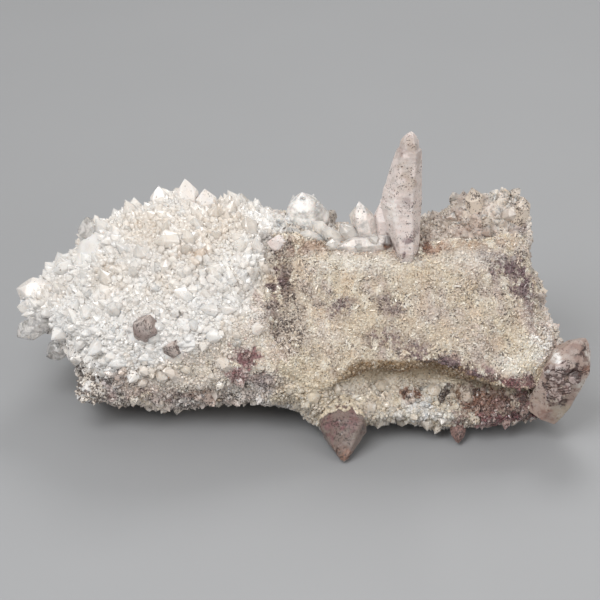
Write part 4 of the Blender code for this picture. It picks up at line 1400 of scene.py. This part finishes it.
class QuartzStudio(bpy.types.PropertyGroup):
    """The floor, the lights and the camera."""

    floor: colour_setting("Floor", "Colour of the plain floor", (0.31, 0.315, 0.325))
    elevation: bpy.props.FloatProperty(name="Elevation", description="How far the camera looks down",
                                       default=math.radians(28), subtype="ANGLE")
    distance: length_setting("Distance", "From the camera to the cluster", 1400)
    seen: length_setting("Seen width", "Width in view at that distance", 294)
    height: length_setting("Height", "Height the camera looks at", 48.7)
    key: bpy.props.FloatProperty(name="Key light", description="Large soft light, high at the left",
                                 default=12, unit="POWER")
    side: bpy.props.FloatProperty(name="Side lights", default=4, unit="POWER",
                                  description="Each of two weaker lights, at right and behind")
    daylight: bpy.props.FloatProperty(name="Daylight", description="Strength of the even light all round",
                                      default=0.55, min=0)


# ---------------------------------------------------------------- operators
# Lamps: place in metres, the studio setting that holds their power, and size in metres.
LAMPS = {
    "key": ((-0.45, -0.75, 1.05), "key", 0.75),
    "fill": ((0.9, -0.8, 0.5), "side", 0.7),
    "back": ((0.2, 0.8, 0.9), "side", 0.45),
}
LAMPS_AIM = Vector((0, 0, 0.05))
DAYLIGHT_COLOUR = (1, 0.985, 0.96)
FLOOR_DROP = 0.3 * MM  # so that the floor and the flat base do not lie in one plane


class QUARTZ_OT_stage(bpy.types.Operator):
    """Set a pale floor under the cluster, soft lights round it, and the camera before it"""

    bl_idname = "quartz.stage"
    bl_label = "Studio"

    def execute(self, context):
        studio, scene = context.scene.quartz_studio, context.scene
        mesh = bpy.data.meshes.new("floor")
        corners = [(-FLOOR, -FLOOR, 0), (FLOOR, -FLOOR, 0), (FLOOR, FLOOR, 0), (-FLOOR, FLOOR, 0)]
        mesh.from_pydata(corners, [], [(0, 1, 2, 3)])
        shading = Shading("floor")
        shade = shading.noise(120, 2)
        darker, lighter = (rgba(np.array(studio.floor) * share) for share in (0.97, 1.03))
        ground = shading.stone(Base_Color=shading.mix(darker, lighter, shade), Roughness=0.55)
        mesh.materials.append(shading.finish(ground))
        floor = bpy.data.objects.new("floor", mesh)
        floor.location.z = -FLOOR_DROP
        scene.collection.objects.link(floor)
        floor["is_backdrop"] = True

        scene.world = bpy.data.worlds.new("studio")
        scene.world.use_nodes = True
        daylight = scene.world.node_tree.nodes["Background"].inputs
        daylight["Color"].default_value = rgba(DAYLIGHT_COLOUR)
        daylight["Strength"].default_value = studio.daylight
        scene.view_settings.view_transform = "Standard"
        for name, (place, power, size) in LAMPS.items():
            lamp = bpy.data.lights.new(name, "AREA")
            lamp.energy = getattr(studio, power)
            lamp.size = size
            light = bpy.data.objects.new(name, lamp)
            light.location = place
            light.rotation_euler = (LAMPS_AIM - Vector(place)).to_track_quat("-Z", "Y").to_euler()
            scene.collection.objects.link(light)

        back = Vector((0, -math.cos(studio.elevation), math.sin(studio.elevation)))
        camera = bpy.data.objects.new("camera", bpy.data.cameras.new("camera"))
        camera.data.lens = camera.data.sensor_width * studio.distance / studio.seen
        camera.location = Vector((0, 0, studio.height)) + back * studio.distance
        camera.rotation_euler = (-back).to_track_quat("-Z", "Y").to_euler()
        scene.collection.objects.link(camera)
        scene.camera = camera
        return {"FINISHED"}


class QUARTZ_OT_body(bpy.types.Operator):
    """Loft the vein quartz body that the crystals grow on"""

    bl_idname = "quartz.body"
    bl_label = "Body"

    def execute(self, context):
        vein_body("vein_quartz", context.scene.quartz_sizes.body_step)
        return {"FINISHED"}


class QUARTZ_OT_field(bpy.types.Operator):
    """Grow the milky field: the solid's points, shards between them, and sugary grains low at its right"""

    bl_idname = "quartz.field"
    bl_label = "Field"

    def execute(self, context):
        sizes = context.scene.quartz_sizes
        grown("field_points", "milky_quartz", "field", lambda feet: sugary(feet) < 0.5)
        grown("skirt_points", "glassy_quartz", "field", lambda feet: sugary(feet) >= 0.5, shrunk=0.72)
        sprinkle("field_blades", "white_quartz", 101, sizes.field, (-134, -14), (SKIRT + 0.2, SHOULDER + 0.3),
                 radii=(0.9, 2.5), tall=(1.0, 2.3), sunk=0.7, spread=0.45, lean=(-0.6, 0, 0.3),
                 keep=field_shards, blunted=True, varied=(0.92, 1.03), drift=0.8, patchy=0.35)
        sprinkle("field_fill", "white_quartz", 113, sizes.fill, (-135, -13), (SKIRT + 0.1, SHOULDER + 0.3),
                 radii=(0.7, 1.5), tall=(0.7, 1.6), sunk=0.5, lean=(-0.5, 0, 0.2), keep=field_shards,
                 varied=(0.94, 1.04), drift=0.8, patchy=0.3)
        sprinkle("field_druse", "white_quartz", 102, sizes.grains, (-136, -11), (SKIRT - 0.2, SHOULDER + 0.2),
                 radii=(0.45, 0.9), tall=(0.8, 1.5), sunk=0.35, spread=0.55, lean=(-0.2, 0, 0.1),
                 keep=field_shards, varied=(0.95, 1.05))
        sprinkle("skirt_druse", "sugar_druse", 115, sizes.sugar, (-110, -12), (SKIRT - 0.5, BROW),
                 radii=(0.5, 1.0), tall=(0.5, 1.4), sunk=0.5, keep=field_sugar, varied=(0.85, 1.2))
        sprinkle("hem_points", "white_quartz", 116, sizes.hem, (-126, -12), (SKIRT - 0.8, SKIRT + 0.45),
                 radii=(0.9, 2.4), tall=(0.9, 2.0), sunk=0.6, lean=(0, -0.2, -0.1), blunted=True,
                 varied=(0.9, 1.03), patchy=0.3)
        sprinkle("hem_druse", "sugar_druse", 117, sizes.crust, (-122, -12), (SKIRT - 0.85, SKIRT + 0.3),
                 radii=(0.6, 1.1), tall=(0.7, 1.5), sunk=0.5, varied=(0.85, 1.15))
        return {"FINISHED"}


class QUARTZ_OT_plate(bpy.types.Operator):
    """Cover the sloping plate with fine grains and scattered white needles, lightened to stand in for its
    glints
    """

    bl_idname = "quartz.plate"
    bl_label = "Plate"

    def execute(self, context):
        sizes = context.scene.quartz_sizes
        sprinkle("plate_druse", "sugar_druse", 103, sizes.plate, (-14, 124), (LEDGE - 0.15, BROW + 1.0),
                 radii=(0.45, 0.9), tall=(0.4, 1.2), sunk=0.5, narrowing=(0.6, 1), varied=(0.82, 1.22))
        # White needles, lightened above the plate's tint so that they also read as its glints: partly painted
        # highlight.
        sprinkle("plate_needles", "white_quartz", 108, sizes.needles, (-12, 122), (LEDGE, BROW + 0.9),
                 radii=(0.28, 0.5), tall=(2.5, 6.5), sunk=0.1, spread=0.8, flat=0.3, varied=(1.15, 1.3))
        return {"FINISHED"}


class QUARTZ_OT_crust(bpy.types.Operator):
    """Line the hollow under the ledge, and cover the crust below it with grains and glassy points"""

    bl_idname = "quartz.crust"
    bl_label = "Hollow and crust"

    def execute(self, context):
        sizes = context.scene.quartz_sizes
        grown("crust_points", "glassy_quartz", "crust")
        sprinkle("hollow_druse", "sugar_druse", 104, sizes.hollow, (-16, 126), (RECESS - 0.5, LEDGE),
                 radii=(0.5, 0.95), tall=(0.5, 1.2), sunk=0.6, varied=(0.8, 1.2))
        sprinkle("crust_druse", "sugar_druse", 109, sizes.crust, (-16, 128), (SKIRT - 0.6, RECESS - 0.4),
                 radii=(0.6, 1.1), tall=(0.8, 1.6), sunk=0.9, varied=(0.8, 1.25))
        sprinkle("crust_fill", "glassy_quartz", 105, sizes.glassy, (-14, 126), (SKIRT - 0.5, RECESS - 0.2),
                 radii=(0.9, 2.1), tall=(0.9, 1.8), sunk=1.0, keep=crust_glass, blunted=True)
        return {"FINISHED"}


class QUARTZ_OT_crest(bpy.types.Operator):
    """Cover the crest: grains, glassy lumps, small clear points by the tall one, and the block's two peaks"""

    bl_idname = "quartz.crest"
    bl_label = "Crest"

    def execute(self, context):
        sizes = context.scene.quartz_sizes
        grown("crest_points", "sugar_druse", "crest")
        sprinkle("crest_fill", "sugar_druse", 106, sizes.crust, (-13, 112), (BROW + 0.8, SHOULDER),
                 radii=(0.5, 1.2), tall=(0.6, 1.5), sunk=0.7, keep=crest_sugar)
        sprinkle("crest_glass", "veiled_quartz", 110, sizes.lumps, (-13, 112), (BROW + 1.0, SHOULDER),
                 radii=(2.2, 4.8), tall=(0.15, 0.6), sunk=0.6, keep=crest_glass, blunted=True)
        gems("crest_gems", "glassy_quartz", 111, clear=(0.5, 1))
        gems("block_peaks", "sugar_druse", 118, colour=(0.66, 0.585, 0.51, 0.75))
        return {"FINISHED"}


class QUARTZ_OT_back(bpy.types.Operator):
    """Cover the back and the foot with milky points, and the right side with sugary ones"""

    bl_idname = "quartz.back"
    bl_label = "Back"

    def execute(self, context):
        sizes = context.scene.quartz_sizes
        grown("back_points", "milky_quartz", "back")
        grown("right_points", "milky_quartz", "right")
        sprinkle("back_fill", "milky_quartz", 107, sizes.back, (-130, 118), (SHOULDER - 0.1, FOOT - 0.12),
                 radii=(1.2, 3.2), tall=(0.8, 1.7), sunk=1.2)
        sprinkle("foot_fill", "milky_quartz", 121, sizes.hem, (-136, 131), (FOOT - 0.12, FOOT + 0.98),
                 radii=(0.9, 2.4), tall=(0.7, 1.5), sunk=0.9)
        sprinkle("side_fill", "sugar_druse", 120, sizes.hem, (108, 129), (BROW + 0.9, FOOT - 0.15),
                 radii=(0.9, 2.2), tall=(0.7, 1.6), sunk=0.9)
        return {"FINISHED"}


class QUARTZ_OT_tall(bpy.types.Operator):
    """Stand the tall frosted point on the crest, with the points against it and beside it"""

    bl_idname = "quartz.tall"
    bl_label = "Tall point"

    def execute(self, context):
        colours = context.scene.quartz_colours
        large_point("tall_point", "frosted_quartz", ["tall"], colours.tall, speckle=0.52, sharp=20,
                    growth=0.006, around=96)
        large_point("flank_points", "frosted_quartz", ["flank", "corner"], colours.tall, speckle=0.4)
        large_point("beside_points", "veiled_quartz", ["beside", "lying"], colours.beside, speckle=0.2)
        return {"FINISHED"}


class QUARTZ_OT_dome(bpy.types.Operator):
    """Raise the milky dome on the crest, with the small points that stud it"""

    bl_idname = "quartz.dome"
    bl_label = "Dome"

    def execute(self, context):
        dome = context.scene.quartz_colours.dome
        large_point("dome_point", "veiled_quartz", ["dome"], dome, speckle=0.05, sharp=5, smooth=True)
        studded("dome_points", "milky_quartz", "dome", 112, count=30, radii=(2.6, 5), tall=(0.15, 0.5))
        return {"FINISHED"}


class QUARTZ_OT_peaks(bpy.types.Operator):
    """Grow the field's large points: three peaks, two at its left end, and the spur below"""

    bl_idname = "quartz.peaks"
    bl_label = "Peaks"

    def execute(self, context):
        peaks = context.scene.quartz_colours.peaks
        large_point("peak_points", "milky_quartz", ["peak", "peak_left", "peak_right", "prow", "prow_low"],
                    peaks, speckle=0.25)
        large_point("spur_point", "milky_quartz", ["spur"], peaks, speckle=0.8)
        studded("spur_points", "white_quartz", "spur", 119, count=200, radii=(0.9, 2.4), tall=(0.6, 1.8),
                shares=(0.25, 0.9), colour=(*WARM, 1.1))
        return {"FINISHED"}


class QUARTZ_OT_clear(bpy.types.Operator):
    """Grow the clear points at the left end"""

    bl_idname = "quartz.clear"
    bl_label = "Clear points"

    def execute(self, context):
        large_point("clear_points", "clear_quartz", ["clear_top", "clear_end", "clear_low"], (0.8, 0.8, 0.8))
        return {"FINISHED"}


class QUARTZ_OT_brown(bpy.types.Operator):
    """Grow the two brown points that stand in the field"""

    bl_idname = "quartz.brown"
    bl_label = "Brown points"

    def execute(self, context):
        brown = context.scene.quartz_colours.brown
        large_point("brown_points", "smoky_quartz", ["brown_a", "brown_b"], brown, speckle=0.7, sharp=60,
                    minor=0.75)
        return {"FINISHED"}


class QUARTZ_OT_keel(bpy.types.Operator):
    """Hang the dark keel point from the front, with grains round its root"""

    bl_idname = "quartz.keel"
    bl_label = "Keel point"

    def execute(self, context):
        keel = context.scene.quartz_colours.keel
        large_point("keel_point", "veined_quartz", ["keel"], keel, speckle=0.6, sharp=16, pits=0.25)
        studded("keel_druse", "sugar_druse", "keel", 114, count=420, radii=(0.8, 1.7), tall=(0.5, 1.3),
                shares=(0.3, 0.56), colour=(*SAND, 0.4), seat=0.9)
        return {"FINISHED"}


class QUARTZ_OT_end(bpy.types.Operator):
    """Grow the etched point at the right end, the steps stacked against it, and the toe"""

    bl_idname = "quartz.end"
    bl_label = "End point"

    def execute(self, context):
        end = np.array(context.scene.quartz_colours.end)
        steps = [key for key in SMALL_POINTS if key.startswith("end_step")]
        large_point("end_point", "etched_quartz", ["end"], end, speckle=0.5, sharp=60, terraces=0.06,
                    growth=0)
        large_point("end_steps", "stepped_quartz", steps, end * (1.25, 1.36, 1.5), speckle=0.7, sharp=30,
                    minor=0.5, around=48)
        large_point("toe_point", "sugar_druse", ["toe"], end * (0.77, 0.65, 0.68), speckle=0.9, sharp=60)
        return {"FINISHED"}


OPERATORS = (QUARTZ_OT_stage, QUARTZ_OT_body, QUARTZ_OT_field, QUARTZ_OT_plate, QUARTZ_OT_crust,
             QUARTZ_OT_crest, QUARTZ_OT_back, QUARTZ_OT_tall, QUARTZ_OT_dome, QUARTZ_OT_peaks,
             QUARTZ_OT_clear, QUARTZ_OT_brown, QUARTZ_OT_keel, QUARTZ_OT_end)
SETTINGS = {"quartz_colours": QuartzColours, "quartz_sizes": QuartzSizes, "quartz_studio": QuartzStudio}


class QUARTZ_PT_cluster(bpy.types.Panel):
    """A button for each part of the cluster, and its settings"""

    bl_idname = "QUARTZ_PT_cluster"
    bl_label = "Quartz cluster"
    bl_space_type = "VIEW_3D"
    bl_region_type = "UI"
    bl_category = "Quartz"

    def draw(self, context):
        for operator in OPERATORS:
            self.layout.operator(operator.bl_idname)
        for name, group in SETTINGS.items():
            box = self.layout.box()
            for setting in group.__annotations__:
                box.prop(getattr(context.scene, name), setting)


CLASSES = (*SETTINGS.values(), *OPERATORS, QUARTZ_PT_cluster)


def register():
    for each in CLASSES:
        bpy.utils.register_class(each)
    for name, group in SETTINGS.items():
        setattr(bpy.types.Scene, name, bpy.props.PointerProperty(type=group))


def unregister():
    for name in SETTINGS:
        delattr(bpy.types.Scene, name)
    for each in reversed(CLASSES):
        bpy.utils.unregister_class(each)


def main():
    """Register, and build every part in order."""
    register()
    bpy.ops.quartz.stage()
    bpy.ops.quartz.body()
    bpy.ops.quartz.field()
    bpy.ops.quartz.plate()
    bpy.ops.quartz.crust()
    bpy.ops.quartz.crest()
    bpy.ops.quartz.back()
    bpy.ops.quartz.tall()
    bpy.ops.quartz.dome()
    bpy.ops.quartz.peaks()
    bpy.ops.quartz.clear()
    bpy.ops.quartz.brown()
    bpy.ops.quartz.keel()
    bpy.ops.quartz.end()
    boxes = {"cad": CAD_BOX, "visual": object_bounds()}
    {key: [list(corner) for corner in box] for key, box in boxes.items()}


if __name__ == "__main__":
    main()
